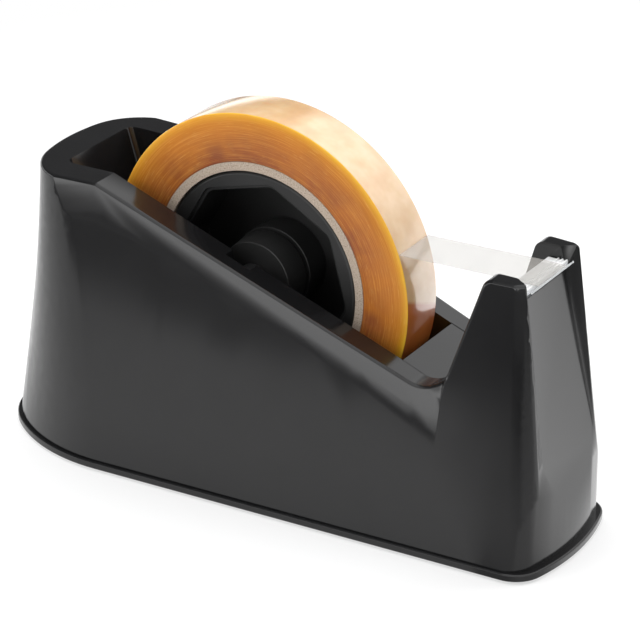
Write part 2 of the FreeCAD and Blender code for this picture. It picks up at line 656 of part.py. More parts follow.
def make_channel_form(name, grow):
    """The space under the bridge, between the well's front wall and the front panel."""
    body = new_body(name)
    radius = f"(well_radius + wall - {grow})"
    drop = f"(bridge_wall + bridge_gap)"
    level = f"(landing_height - {drop})"
    floor = f"(channel_floor - {grow})"
    back = f"(wall - {grow})"
    reach = f"(sin(ledge_angle) * (reel_back - deck_front) + cos(ledge_angle)" \
            f" * (deck_height - reel_height) - {drop})"
    along = f"sqrt(pow({radius}; 2) - pow({reach}; 2))"
    lean = "tan(panel_lean)"
    face = f"{back} / cos(panel_lean)"
    side = new_sketch(body, f"{name}_side", "XZ_Plane")
    draw_loop(side, [
        ("bridge_seam", "seam_z"),
        (f"bridge_seam - {drop} * sin(ledge_angle)", f"seam_z - {drop} * cos(ledge_angle)"),
        (f"{reach} * sin(ledge_angle) + {along} * cos(ledge_angle) - reel_back",
         f"reel_height + {reach} * cos(ledge_angle) - {along} * sin(ledge_angle)", radius, -1),
        (f"sqrt(pow({radius}; 2) - pow(reel_height - {floor}; 2)) - reel_back", floor),
        (f"tower_front + (landing_height - {floor}) * {lean} - {face}", floor),
        (f"tower_front + {drop} * {lean} - {face}", level),
        (FAR, level),
        (FAR, ABOVE),
        ("bridge_seam", ABOVE),
    ])
    pad(body, f"{name}_pad", side, "2 * plate_half_width", middle=True)
    channel_sides(body, name, grow)
    return body


def make_front_recess():
    """The flared hollow between the fins in front of the panel, running out at its foot."""
    body = new_body("front_recess")
    sections = []
    deep = "(plate_length / 8)"
    for place, level in (("foot", "0"), ("top", ABOVE)):
        back = f"(tower_front + (landing_height - {level}) * tan(panel_lean))"
        half = f"(channel_half_top + (fin_height - {level}) * tan(channel_draft))"
        wide = f"({half} + {deep} * tan(recess_flare))"
        sketch = new_sketch(body, f"recess_{place}", "XY_Plane", level)
        draw_loop(sketch, [
            (back, f"0 - {half}"), (f"{back} + {deep}", f"0 - {wide}"),
            (f"{back} + {deep}", wide), (back, half),
        ])
        sections.append(sketch)
    loft(body, "recess_loft", sections)
    return body


def make_saddle_groove():
    """Two blind grooves in one cut: a round seat for the axle and a flared mouth."""
    body = new_body("saddle_groove")
    side = new_sketch(body, "groove_side", "XZ_Plane")
    half = "(axle_diameter / 2 + saddle_slack)"
    draw_loop(side, [
        (f"{half} - reel_back", "reel_height"),
        (f"{half} - reel_back", f"reel_height + {half}"),
        (f"{half} + saddle_mouth - reel_back", "deck_height"),
        (f"0 - {half} - saddle_mouth - reel_back", "deck_height"),
        (f"0 - {half} - reel_back", f"reel_height + {half}"),
        (f"0 - {half} - reel_back", "reel_height"),
    ])
    pad(body, "groove_pad", side, "axle_length + 2 * saddle_end_gap", middle=True)
    seat = new_sketch(body, "seat_side", "XZ_Plane")
    draw_circle(seat, "0 - reel_back", "reel_height", half)
    pad(body, "seat_pad", seat, "axle_length + 2 * saddle_end_gap", middle=True)
    return body


def make_saddle_blocks():
    """Solid stock round the saddles, between the well and the outer wall."""
    body = new_body("saddle_blocks")
    side = new_sketch(body, "block_side", "XZ_Plane")
    half = "(axle_diameter / 2 + saddle_slack + saddle_backing)"
    draw_box(side, f"0 - {half} - reel_back", f"{half} - reel_back",
             f"reel_height - {half}", "deck_height")
    pad(body, "block_pad", side, "axle_length + 2 * saddle_end_gap + 2 * saddle_backing", middle=True)
    return body


POSTS = [(f"{lane}_{side}", x, f"{sign}{y}") for lane, x, y in
         (("rear", "0 - post_rear_x", "post_rear_y"), ("front", "post_front_x", "post_front_y"))
         for side, sign in (("near", "0 - "), ("far", ""))]
BRIDGE_POSTS = [("near", "bridge_post_x", "0 - bridge_post_y"), ("far", "bridge_post_x", "bridge_post_y")]


def make_rounded_form():
    """The outer form with its shoulders cut and every upper rim rounded."""
    shoulder = make_shoulder_cut()
    mirror = doc.addObject("Part::Mirroring", "shoulder_cut_far")
    mirror.Source = shoulder
    mirror.Normal = FreeCAD.Vector(0, 1, 0)
    formed = boolean("Cut", "shouldered_form", make_outer_form(), [shoulder, mirror])
    middle, kink = value("crown_half_width") / 2, value("0 - deck_front")
    level, low = value("deck_height") - 0.1, value("seam_z") - 5
    fade, faded = value("shoulder_front"), value("shoulder_front + shoulder_fade")
    fillet = doc.addObject("Part::Fillet", "rounded_form")
    fillet.Base = formed
    ridge = edges_of(formed.Shape, lambda edge: edge.BoundBox.XLength > 1.5 and (
        edge.BoundBox.ZMin > level if edge.CenterOfMass.x < kink
        else edge.BoundBox.ZMin > low and abs(edge.CenterOfMass.y) > middle
        and not fade < edge.CenterOfMass.x < faded))
    radius = value("rim_round")
    fillet.Edges = [(i, radius, radius) for i in ridge]
    doc.recompute()
    return fillet


def make_body_shell():
    outer = make_rounded_form()
    cavity = make_cavity()
    keep = [make_well_form("well_walls", "wall", "well_corner + wall"),
            make_channel_form("channel_walls", "wall"), make_saddle_blocks()]
    keep += [cylinder(f"post_{name}", x, y, "plate_top", "post_diameter / 2", "deck_height")
             for name, x, y in POSTS]
    hollow = boolean("Cut", "hollow", cavity, keep)
    holes = [cylinder(f"pilot_{name}", x, y, "0", "screw_diameter / 2 + screw_slack",
                      "pad_thickness + screw_length + screw_sink + screw_head_height + hole_spare") for name, x, y in POSTS]
    holes += [cylinder(f"bridge_hole_{name}", x, y, "channel_floor - 2 * wall",
                       "screw_diameter / 2 + screw_slack", "3 * wall") for name, x, y in BRIDGE_POSTS]
    cuts = [hollow, make_well_form("well", "0", "well_corner"), make_channel_form("channel", "0"),
            make_front_recess(), make_saddle_groove()] + holes
    return boolean("Cut", "body_shell", outer, cuts)


# ---------------------------------------------------------------- base
def make_nonslip_pad():
    body = new_body("nonslip_pad")
    outline = new_sketch(body, "pad_outline", "XY_Plane")
    draw_plan(outline, "plate", "pad_inset")
    pad(body, "pad_sheet", outline, "pad_thickness")
    return body


def make_base_plate():
    body = new_body("base_plate")
    outline = new_sketch(body, "plate_outline", "XY_Plane", "pad_thickness")
    draw_plan(outline, "plate")
    pad(body, "plate_sheet", outline, "plate_thickness")
    top = value("plate_top")
    round_edges(body, "plate_edge", "plate_edge_round", lambda edge: edge.BoundBox.ZMin > top - 0.01)
    shanks = new_sketch(body, "plate_holes", "XY_Plane", "plate_top")
    heads = new_sketch(body, "plate_sinks", "XY_Plane", "pad_thickness")
    for _, x, y in POSTS + PLATE_HOLES + BLOCK_HOLES:
        draw_circle(shanks, x, y, "screw_diameter / 2 + screw_slack")
        draw_circle(heads, x, y, "screw_head / 2 + screw_head_slack")
    pocket(body, "plate_hole_cut", shanks, "plate_thickness")
    pocket(body, "plate_sink_cut", heads, "screw_head_height + screw_sink", backwards=True)
    return body


def make_screws(name, places, seat, length, point_up=True):
    """Pan-head screws, one solid at each place, drawn about their own axis."""
    group = []
    up = "" if point_up else "0 - "
    for place, x, y in places:
        body = new_body(f"{name}_{place}")
        sketch = new_sketch(body, f"{name}_{place}_sketch", "XZ_Plane")
        edge = "screw_edge"
        draw_loop(sketch, [
            ("0", f"0 - ({up}screw_head_height)"),
            (f"screw_head / 2 - {edge}", f"0 - ({up}screw_head_height)"),
            ("screw_head / 2", f"{up}({edge} - screw_head_height)"),
            ("screw_head / 2", "0"),
            ("screw_diameter / 2", "0"),
            ("screw_diameter / 2", f"{up}({length} - {edge})"),
            (f"screw_diameter / 2 - {edge}", f"{up}({length})"),
            ("0", f"{up}({length})"),
        ])
        spin = body.newObject("PartDesign::Revolution", f"{name}_{place}_turned")
        spin.Profile = sketch
        spin.ReferenceAxis = (sketch, ["V_Axis"])
        spin.Angle = 360
        doc.recompute()
        slot = new_sketch(body, f"{name}_{place}_slot", "XY_Plane", f"0 - ({up}screw_head_height)")
        draw_box(slot, "0 - screw_slot", "screw_slot", "0 - screw_slot_width / 2", "screw_slot_width / 2")
        pocket(body, f"{name}_{place}_drive", slot, "screw_slot_depth", backwards=point_up)
        cross = new_sketch(body, f"{name}_{place}_cross", "XY_Plane", f"0 - ({up}screw_head_height)")
        draw_box(cross, "0 - screw_slot_width / 2", "screw_slot_width / 2", "0 - screw_slot", "screw_slot")
        pocket(body, f"{name}_{place}_cross_drive", cross, "screw_slot_depth", backwards=point_up)
        move(body, x, y, seat)
        group.append(body)
    joined = doc.addObject("Part::Compound", name)
    joined.Links = group
    joined.Label = name
    doc.recompute()
    return joined


def make_ballast(name, rear, front, width, foot, height):
    """A cast iron weight with rounded corners."""
    body = new_body(name)
    outline = new_sketch(body, f"{name}_outline", "XY_Plane", foot)
    draw_box(outline, rear, front, f"0 - ({width}) / 2", f"({width}) / 2")
    pad(body, f"{name}_slab", outline, height)
    tall = value(height) * 0.9
    round_edges(body, f"{name}_corners", "ballast_round", lambda edge: edge.BoundBox.ZLength > tall)
    return body


def drill(body, name, places, radius, level, depth):
    """Blind or through holes downwards from a level."""
    sketch = new_sketch(body, name, "XY_Plane", level)
    for _, x, y in places:
        draw_circle(sketch, x, y, radius)
    pocket(body, f"{name}_cut", sketch, depth)
    return body


SCREW_SEAT = "pad_thickness + screw_sink + screw_head_height"
FOOT = "plate_top + ballast_gap"
PLATE_HOLES = [("rear", "0 - ballast_hole_rear", "0"), ("front", "ballast_hole_front", "0")]
BLOCK_HOLES = [("block", "block_rear + block_length / 2", "0")]

nonslip_pad = make_nonslip_pad()
base_plate = make_base_plate()
ballast_plate = make_ballast("ballast_plate", "ballast_front - ballast_length", "ballast_front",
                             "ballast_width", FOOT, "ballast_thickness")
drill(ballast_plate, "plate_threads", PLATE_HOLES, "screw_diameter / 2 + screw_slack",
      f"{FOOT} + ballast_thickness", "ballast_thickness")
ballast_block = make_ballast("ballast_block", "block_rear", "block_rear + block_length",
                             "block_width", FOOT, "block_height")
drill(ballast_block, "block_threads", BLOCK_HOLES, "screw_diameter / 2 + screw_slack",
      f"{FOOT} + block_height", "block_height")
base_screws = make_screws("base_screws", POSTS, SCREW_SEAT, "screw_length")
ballast_screws = make_screws("ballast_screws", PLATE_HOLES + BLOCK_HOLES, SCREW_SEAT,
                             "ballast_screw_length")
body_shell = make_body_shell()


# ---------------------------------------------------------------- bridge and blade
def make_blade_bridge():
    """The piece between the fins: sloping cover, tower and landing, on two posts."""
    body = new_body("blade_bridge")
    posts = new_sketch(body, "bridge_posts", "XY_Plane", "channel_floor")
    for _, x, y in BRIDGE_POSTS:
        draw_circle(posts, x, y, "post_diameter / 2")
    pad(body, "bridge_post_pad", posts, "seam_z - channel_floor")
    trim = new_sketch(body, "post_trim", "XZ_Plane")
    rear, front = "bridge_post_x - post_diameter", "bridge_post_x + post_diameter"
    draw_loop(trim, [
        (rear, slope_at(rear, "bridge_wall / 2")),
        (front, slope_at(front, "bridge_wall / 2")),
        (front, "deck_height"),
        (rear, "deck_height"),
    ])
    pocket(body, "post_trim_cut", trim)
    side = new_sketch(body, "bridge_side", "XZ_Plane")
    start, lip = "bridge_seam + bridge_gap", "bridge_wall"
    panel = "(panel_lean - 90)"
    corner_in = mitre("tower_x", "tower_z", SLOPE, RISE, lip)
    outer_run = "(tower_round * tan((90 - fin_lean + ledge_angle) / 2))"
    inner_run = f"((tower_round + {lip}) * tan((90 - fin_lean + ledge_angle) / 2))"
    draw_loop(side, [
        (start, slope_at(start)),
        (f"tower_x - {outer_run} * cos(ledge_angle)", f"tower_z + {outer_run} * sin(ledge_angle)",
         "tower_round", 1),
        (f"tower_x + {outer_run} * sin(fin_lean)", f"tower_z + {outer_run} * cos(fin_lean)"),
        ("tower_rear", "landing_height"),
        ("tower_front", "landing_height"),
        mitre("tower_front", "landing_height", "0", panel, lip),
        mitre("tower_rear", "landing_height", RISE, "0", lip),
        (f"{corner_in[0]} + {inner_run} * sin(fin_lean)",
         f"{corner_in[1]} + {inner_run} * cos(fin_lean)", f"tower_round + {lip}", -1),
        (f"{corner_in[0]} - {inner_run} * cos(ledge_angle)",
         f"{corner_in[1]} + {inner_run} * sin(ledge_angle)"),
        mitre(start, slope_at(start), SLOPE, SLOPE, lip),
    ])
    pad(body, "bridge_slab", side, "2 * fin_height", middle=True)
    channel_sides(body, "bridge", "0 - bridge_gap")
    drill_up = new_sketch(body, "bridge_pilots", "XY_Plane", "channel_floor")
    for _, x, y in BRIDGE_POSTS:
        draw_circle(drill_up, x, y, "screw_diameter / 2 + screw_slack")
    pocket(body, "bridge_pilot_cut", drill_up, "screw_length + hole_spare - wall", backwards=True)
    pegs = new_sketch(body, "peg_holes", "XY_Plane", "landing_height")
    for sign in ("", "0 - "):
        draw_circle(pegs, "peg_x", f"{sign}peg_spread", "peg_diameter / 2 + snap_gap")
    pocket(body, "peg_hole_cut", pegs, "2 * bridge_wall")
    return body


def make_serrated_blade():
    body = new_body("serrated_blade")
    side = new_sketch(body, "blade_side", "XZ_Plane")
    bend = "atan2(blade_tip - landing_height - blade_thickness; blade_reach - blade_bend) / 1 deg"
    under = mitre("blade_bend", "landing_height + blade_thickness", "0", f"({bend})", "blade_thickness")
    tip = mitre("blade_reach", "blade_tip", f"({bend})", f"({bend})", "blade_thickness")
    draw_loop(side, [
        ("blade_rear", "landing_height"),
        under,
        tip,
        ("blade_reach", "blade_tip"),
        ("blade_bend", "landing_height + blade_thickness"),
        ("blade_rear", "landing_height + blade_thickness"),
    ])
    pad(body, "blade_sheet", side, "blade_width", middle=True)
    teeth = new_sketch(body, "first_notch", "XY_Plane", "blade_tip + blade_thickness")
    first = "tooth_margin - blade_width / 2"
    draw_loop(teeth, [
        ("blade_reach + blade_thickness", first),
        ("blade_reach + blade_thickness", f"{first} + tooth_pitch"),
        ("blade_reach", f"{first} + tooth_pitch"),
        ("blade_reach - tooth_depth", f"{first} + tooth_pitch / 2"),
        ("blade_reach", first),
    ])
    notch = pocket(body, "notch", teeth, "blade_tip - landing_height + 2 * blade_thickness")
    row = body.newObject("PartDesign::LinearPattern", "notches")
    row.Originals = [notch]
    row.Direction = (teeth, ["V_Axis"])
    count = int(value("(blade_width - 2 * tooth_margin) / tooth_pitch") + 0.01)
    row.Occurrences = count
    bind(row, "Length", f"{count - 1} * tooth_pitch")
    body.Tip = row
    doc.recompute()
    holes = new_sketch(body, "blade_holes", "XY_Plane", "landing_height + blade_thickness")
    for sign in ("", "0 - "):
        draw_circle(holes, "peg_x", f"{sign}peg_spread", "peg_diameter / 2 + snap_gap")
    pocket(body, "blade_hole_cut", holes, "2 * blade_thickness")
    return body


def make_blade_holder():
    """A ribbed strip that clamps the blade on the landing, with two pegs."""
    body = new_body("blade_holder")
    seat = "landing_height + blade_thickness"
    outline = new_sketch(body, "strip_outline", "XY_Plane", seat)
    draw_box(outline, "holder_rear", "holder_front", "0 - holder_width / 2", "holder_width / 2")
    pad(body, "strip", outline, "holder_thickness")
    ribs = new_sketch(body, "strip_ribs", "XZ_Plane")
    for i in range(3):
        front = f"holder_front - {i} * holder_rib_pitch"
        draw_box(ribs, f"{front} - holder_rib_width", front,
                 f"{seat} + holder_thickness / 2", "landing_top")
    pad(body, "strip_rib_pad", ribs, "holder_width", middle=True)
    pegs = new_sketch(body, "pegs", "XY_Plane", f"{seat} + holder_thickness / 2")
    for sign in ("", "0 - "):
        draw_circle(pegs, "peg_x", f"{sign}peg_spread", "peg_diameter / 2")
    pad(body, "peg_pad", pegs, "bridge_wall + blade_thickness + holder_thickness / 2", backwards=True)
    return body


blade_bridge = make_blade_bridge()
serrated_blade = make_serrated_blade()
blade_holder = make_blade_holder()
bridge_screws = make_screws("bridge_screws", BRIDGE_POSTS, "channel_floor - wall", "screw_length")


# ---------------------------------------------------------------- reel
def seat_reel(body):
    """Move a piece drawn about its own Y axis to the reel's axis."""
    move(body, x="0 - reel_back", z="reel_height")
    doc.recompute()
    return body


def ring(name, inner, outer, near, far):
    body = new_body(name)
    turned(body, f"{name}_ring", [(inner, near), (outer, near), (outer, far), (inner, far)])
    return seat_reel(body)


def octagon(sketch, flats):
    """The eight-sided opening with rounded corners, about the sketch's origin."""
    corners = []
    for i in range(8):
        turn = f"(octagon_turn + 45 * {i})"
        centre = f"((({flats}) / 2 - octagon_round) / cos(22.5))"
        for edge, rounding in ((f"({turn} - 22.5)", True), (f"({turn} + 22.5)", False)):
            point = (f"{centre} * cos({turn}) + octagon_round * cos({edge})",
                     f"{centre} * sin({turn}) + octagon_round * sin({edge})")
            corners.append((*point, "octagon_round", 1) if rounding else point)
    draw_loop(sketch, corners)


def make_reel_drum():
    """The drum that fits the wide core: octagonal opening, far web and flange, ribs."""
    body = new_body("reel_drum")
    radius, near = "(core_bore / 2 - drum_slack)", "(drum_recess - tape_width / 2)"
    turned(body, "drum_turned", [
        ("boss_spigot / 2 + snap_gap", near),
        (f"{radius} - drum_lead", near),
        (radius, f"{near} + drum_lead"),
        (radius, "drum_far"),
        ("flange_diameter / 2", "drum_far"),
        ("flange_diameter / 2", "drum_far + drum_web"),
        ("boss_spigot / 2 + snap_gap", "drum_far + drum_web"),
    ])
    opening = new_sketch(body, "opening", "XZ_Plane", "0 - drum_far")
    octagon(opening, "octagon_flats")
    pocket(body, "opening_cut", opening, "2 * tape_width", backwards=True)
    mouth = new_sketch(body, "mouth", "XZ_Plane", f"0 - ({near} + octagon_step)")
    octagon(mouth, "octagon_flats + 2 * octagon_step")
    pocket(body, "mouth_cut", mouth, "tape_width", backwards=True)
    rib = new_sketch(body, "rib", "XZ_Plane", "0 - drum_far")
    draw_box(rib, f"{radius} - drum_rib", f"{radius} + drum_rib", "0 - drum_rib_width / 2",
             "drum_rib_width / 2")
    first = pad(body, "rib_pad", rib, f"drum_far - {near} - drum_lead")
    around = body.newObject("PartDesign::PolarPattern", "ribs")
    around.Originals = [first]
    around.Axis = (rib, ["N_Axis"])
    around.Angle = 360
    bind(around, "Occurrences", "drum_ribs")
    body.Tip = around
    doc.recompute()
    return seat_reel(body)


def make_small_core_boss():
    body = new_body("small_core_boss")
    bore, floor = "axle_diameter / 2 + bore_slack", "boss_wall - boss_near"
    turned(body, "boss_turned", [
        (bore, "0 - boss_near"),
        ("boss_nose / 2", "0 - boss_near"),
        ("boss_neck / 2", "0 - boss_groove_near"),
        ("boss_neck / 2 - boss_groove_depth", "0 - boss_groove_near"),
        ("boss_neck / 2 - boss_groove_depth", "0 - boss_groove_far"),
        ("boss_body / 2", "0 - boss_groove_far"),
        ("boss_body / 2", "drum_far"),
        ("boss_spigot / 2", "drum_far"),
        ("boss_spigot / 2", "reel_far"),
        ("boss_spigot / 2 - boss_wall", "reel_far"),
        ("boss_spigot / 2 - boss_wall", floor),
        ("boss_tube / 2", floor),
        ("boss_tube / 2", "reel_far"),
        (bore, "reel_far"),
    ])
    return seat_reel(body)


def make_axle_rod():
    body = new_body("axle_rod")
    radius, end = "axle_diameter / 2", "axle_length / 2"
    turned(body, "rod_turned", [
        ("0", f"0 - {end}"),
        (f"{radius} - axle_chamfer", f"0 - {end}"),
        (radius, f"axle_chamfer - {end}"),
        (radius, f"{end} - axle_chamfer"),
        (f"{radius} - axle_chamfer", end),
        ("0", end),
    ])
    return seat_reel(body)


def make_axle_spacers():
    """Two sleeves that keep the reel in the middle of the well."""
    sleeve = ("axle_diameter / 2 + bore_slack", "spacer_diameter / 2")
    wall_end = "well_half_axle - spacer_wall_gap"
    pair = doc.addObject("Part::Compound", "axle_spacers")
    pair.Links = [ring("spacer_near", *sleeve, f"0 - ({wall_end})", "0 - (boss_near + running_gap)"),
                  ring("spacer_far", *sleeve, "reel_far + running_gap", wall_end)]
    pair.Label = "axle_spacers"
    doc.recompute()
    return pair


def make_tape_film():
    """The free strip, from the roll over the landing to the teeth."""
    body = new_body("tape_film")
    side = new_sketch(body, "film_side", "XZ_Plane")
    level = "(landing_top + film_gap)"
    draw_loop(side, [
        ("peel_x", "peel_z"),
        ("holder_rear", level),
        ("film_end", level),
        ("film_end", f"{level} + film_thickness"),
        ("holder_rear", f"{level} + film_thickness"),
        ("peel_x", "peel_z + film_thickness"),
    ])
    pad(body, "film_strip", side, "film_width", middle=True)
    return body


HALF_TAPE = "tape_width / 2"
reel_drum = make_reel_drum()
small_core_boss = make_small_core_boss()
boss_cap = ring("boss_cap", "boss_spigot / 2 + snap_gap", "cap_diameter / 2",
                "drum_far + drum_web", "reel_far")
axle_rod = make_axle_rod()
axle_spacers = make_axle_spacers()
tape_core = ring("tape_core", "core_bore / 2", "core_outer / 2", f"0 - {HALF_TAPE}", HALF_TAPE)
tape_roll = ring("tape_roll", "core_outer / 2", "roll_diameter / 2", f"0 - {HALF_TAPE}", HALF_TAPE)
tape_film = make_tape_film()

# ---------------------------------------------------------------- checks and export
SUB_PARTS = [nonslip_pad, base_plate, base_screws, ballast_plate, ballast_block, ballast_screws,
             body_shell, blade_bridge, bridge_screws, serrated_blade, blade_holder, reel_drum,
             small_core_boss, boss_cap, axle_rod, axle_spacers, tape_core, tape_roll, tape_film]
doc.recompute()
for item in doc.Objects:
    if "Invalid" in item.State or "Error" in item.State:
        raise RuntimeError(f"{item.Label} did not recompute: {item.State}")
os.makedirs("parts", exist_ok=True)
for item in SUB_PARTS:
    if item.Shape.isNull() or not item.Shape.isValid():
        raise RuntimeError(f"{item.Label} has no valid shape")
    item.Shape.exportStep(os.path.join("parts", f"{item.Label}.step"))
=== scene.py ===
"""Desk tape dispenser with a loaded roll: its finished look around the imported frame, as a Blender add-on."""

import json
import math

import bmesh
import bpy
from bpy.props import FloatProperty, FloatVectorProperty, IntProperty, PointerProperty
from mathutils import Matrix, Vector

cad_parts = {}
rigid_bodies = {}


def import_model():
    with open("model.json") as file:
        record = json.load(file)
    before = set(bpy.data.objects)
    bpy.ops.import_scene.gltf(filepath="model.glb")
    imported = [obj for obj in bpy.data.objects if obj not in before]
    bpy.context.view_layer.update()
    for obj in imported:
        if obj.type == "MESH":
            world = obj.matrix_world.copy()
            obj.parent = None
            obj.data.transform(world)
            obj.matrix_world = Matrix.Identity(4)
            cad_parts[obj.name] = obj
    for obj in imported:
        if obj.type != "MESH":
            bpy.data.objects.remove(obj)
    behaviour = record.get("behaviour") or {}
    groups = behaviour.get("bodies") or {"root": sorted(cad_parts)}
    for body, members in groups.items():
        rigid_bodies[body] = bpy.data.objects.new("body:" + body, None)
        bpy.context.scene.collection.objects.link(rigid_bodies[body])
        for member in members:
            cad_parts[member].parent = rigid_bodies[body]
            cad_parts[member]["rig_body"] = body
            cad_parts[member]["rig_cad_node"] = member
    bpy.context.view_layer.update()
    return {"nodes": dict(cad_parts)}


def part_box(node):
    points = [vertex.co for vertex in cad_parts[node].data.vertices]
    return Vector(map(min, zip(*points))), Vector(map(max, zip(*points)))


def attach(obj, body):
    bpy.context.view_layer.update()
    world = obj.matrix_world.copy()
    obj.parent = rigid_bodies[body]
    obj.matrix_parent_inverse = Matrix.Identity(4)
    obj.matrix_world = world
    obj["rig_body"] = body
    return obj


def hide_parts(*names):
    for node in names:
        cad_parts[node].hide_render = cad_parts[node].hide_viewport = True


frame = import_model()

bl_info = {
    "name": "Weighted Tape Dispenser",
    "version": (1, 0, 0),
    "blender": (4, 5, 0),
    "location": "3D View > Sidebar > Dispenser",
    "description": "Builds a weighted desk tape dispenser and its roll around a packed frame",
    "category": "Object",
}

MM = 0.001
NODES = frame["nodes"]
AXLE_LOW, AXLE_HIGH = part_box("axle_rod")
AXLE = (AXLE_LOW + AXLE_HIGH) / 2
ROLL_LOW, ROLL_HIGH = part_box("tape_roll")
ROLL_RADIUS = (ROLL_HIGH.x - ROLL_LOW.x) / 2
CORE_LOW, CORE_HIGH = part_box("tape_core")
CORE_RADIUS = (CORE_HIGH.x - CORE_LOW.x) / 2
CORE_WALL = 3.05 * MM


# ---------------------------------------------------------------- colours and shader nodes


def linear(colour):
    """An sRGB hex colour such as 1c1c1d as the linear values that a shader takes."""
    parts = [int(colour[i : i + 2], 16) / 255 for i in (0, 2, 4)]
    return [p / 12.92 if p <= 0.04045 else ((p + 0.055) / 1.055) ** 2.4 for p in parts] + [1.0]


def add(tree, kind, inputs=(), **settings):
    """A node with its settings. An input is (socket, value), and a value that is a socket is linked."""
    made = tree.nodes.new(kind)
    for name, value in settings.items():
        setattr(made, name, value)
    for socket, value in inputs:
        if isinstance(value, bpy.types.NodeSocket):
            tree.links.new(value, made.inputs[socket])
        else:
            made.inputs[socket].default_value = value
    return made


def new_material(name, **constants):
    """A material, its node tree and its Principled shader with these constants on their own sockets."""
    made = bpy.data.materials.new(name)
    made.use_nodes = True
    tree = made.node_tree
    shader = tree.nodes["Principled BSDF"]
    for socket, value in constants.items():
        shader.inputs[socket.replace("_", " ")].default_value = value
    return made, tree, shader


def ramp(tree, factor, *stops):
    """A colour ramp with (place, colour) stops."""
    made = add(tree, "ShaderNodeValToRGB", [("Fac", factor)])
    while len(made.color_ramp.elements) < len(stops):
        made.color_ramp.elements.new(0.5)
    for element, (place, colour) in zip(made.color_ramp.elements, stops):
        element.position = place
        element.color = linear(colour)
    return made.outputs["Color"]


def calculate(tree, operation, *values, **settings):
    """The result of a Math node."""
    return add(tree, "ShaderNodeMath", enumerate(values), operation=operation, **settings).outputs[0]


def combine(tree, operation, *values):
    """The result of a Vector Math node."""
    made = add(tree, "ShaderNodeVectorMath", enumerate(values), operation=operation)
    return made.outputs["Value" if operation == "LENGTH" else "Vector"]


def stretch(tree, value, start, end, low=0.0, high=1.0):
    """A value that runs from start to end, made to run from low to high and held there beyond them."""
    ends = [("From Min", start), ("From Max", end), ("To Min", low), ("To Max", high)]
    return add(tree, "ShaderNodeMapRange", [("Value", value), *ends]).outputs["Result"]


def spread(tree, value, low=0.0, high=1.0):
    """A noise value, which keeps near its middle, stretched to run from low to high."""
    return stretch(tree, value, 0.3, 0.7, low, high)


def mix(tree, factor, first, second, blend="MIX"):
    """Two colours mixed: only the first one where the factor is 0."""
    colours = [("Factor", factor), ("A", first), ("B", second)]
    return add(tree, "ShaderNodeMix", colours, data_type="RGBA", blend_type=blend).outputs["Result"]


def tinted(tree, colour, tint):
    """A colour multiplied by a tint."""
    return mix(tree, 1.0, colour, tint, "MULTIPLY")


def mix_shaders(tree, factor, first, second):
    """Two shader nodes mixed: only the first one where the factor is 0."""
    return add(tree, "ShaderNodeMixShader", enumerate((factor, first.outputs[0], second.outputs[0])))


def separate(tree, vector):
    """The X, Y and Z of a vector."""
    return add(tree, "ShaderNodeSeparateXYZ", [("Vector", vector)]).outputs


def noise(tree, where, size, detail):
    """Noise with blobs of this size, in the units of the place that it is given."""
    inputs = [("Vector", where), ("Scale", 1 / size), ("Detail", detail)]
    return add(tree, "ShaderNodeTexNoise", inputs).outputs["Fac"]


def bump(tree, shader, height, distance, strength):
    """A bump whose full height is this distance in metres."""
    made = add(tree, "ShaderNodeBump", [("Height", height), ("Distance", distance), ("Strength", strength)])
    tree.links.new(made.outputs["Normal"], shader.inputs["Normal"])


def colour_with(tree, shader, colour):
    """Takes a shader's base colour from a socket."""
    tree.links.new(colour, shader.inputs["Base Color"])


def place(tree):
    """A point's own place on the piece, in metres."""
    return add(tree, "ShaderNodeTexCoord").outputs["Object"]


def from_the_axle(tree):
    """A point's own place with its X and Z from the axle's line, in metres."""
    shift = [("Vector", place(tree)), ("Location", (-AXLE.x, 0, -AXLE.z))]
    return add(tree, "ShaderNodeMapping", shift).outputs["Vector"]


def round_the_axle(tree, centred):
    """The distance from the axle's line, and the direction from it as a unit vector in XZ."""
    flat = combine(tree, "MULTIPLY", centred, (1, 0, 1))
    return combine(tree, "LENGTH", flat), combine(tree, "NORMALIZE", flat)


def along_rings(tree, distance, direction, pitch, change):
    """A place for a noise that runs in rings: so far apart, and changing so much in each radian."""
    rings = add(
        tree, "ShaderNodeCombineXYZ", [("Y", calculate(tree, "MULTIPLY", distance, 1 / pitch))]
    ).outputs["Vector"]
    return combine(tree, "ADD", rings, combine(tree, "MULTIPLY", direction, (change, change, change)))


# ---------------------------------------------------------------- materials

SHEEN_EDGE = 0.5  # where the painted sheen on the top turn ends and the plain amber begins, in turns from the rear
SHEEN_EDGE_WIDTH = 0.004  # how wide the edge of that painted sheen shows, in turns
SHEEN_EDGE_SLANT = math.radians(0.4) / MM  # how far that edge of the painted sheen turns in each metre across the tape


def etched_abs(name, colour, lighter, grain, roughness):
    """ABS moulded in a fine-eroded tool: a deep black with a gloss that blurs reflections a little."""
    made, tree, shader = new_material(name, IOR=1.5)
    here = place(tree)
    mottle = spread(tree, noise(tree, here, 14 * MM, 3))
    colour_with(tree, shader, mix(tree, mottle, colour, lighter))
    fine = noise(tree, here, grain, 2)
    tree.links.new(spread(tree, fine, roughness - 0.02, roughness + 0.02), shader.inputs["Roughness"])
    bump(tree, shader, fine, 0.001 * MM, 0.5)
    return made


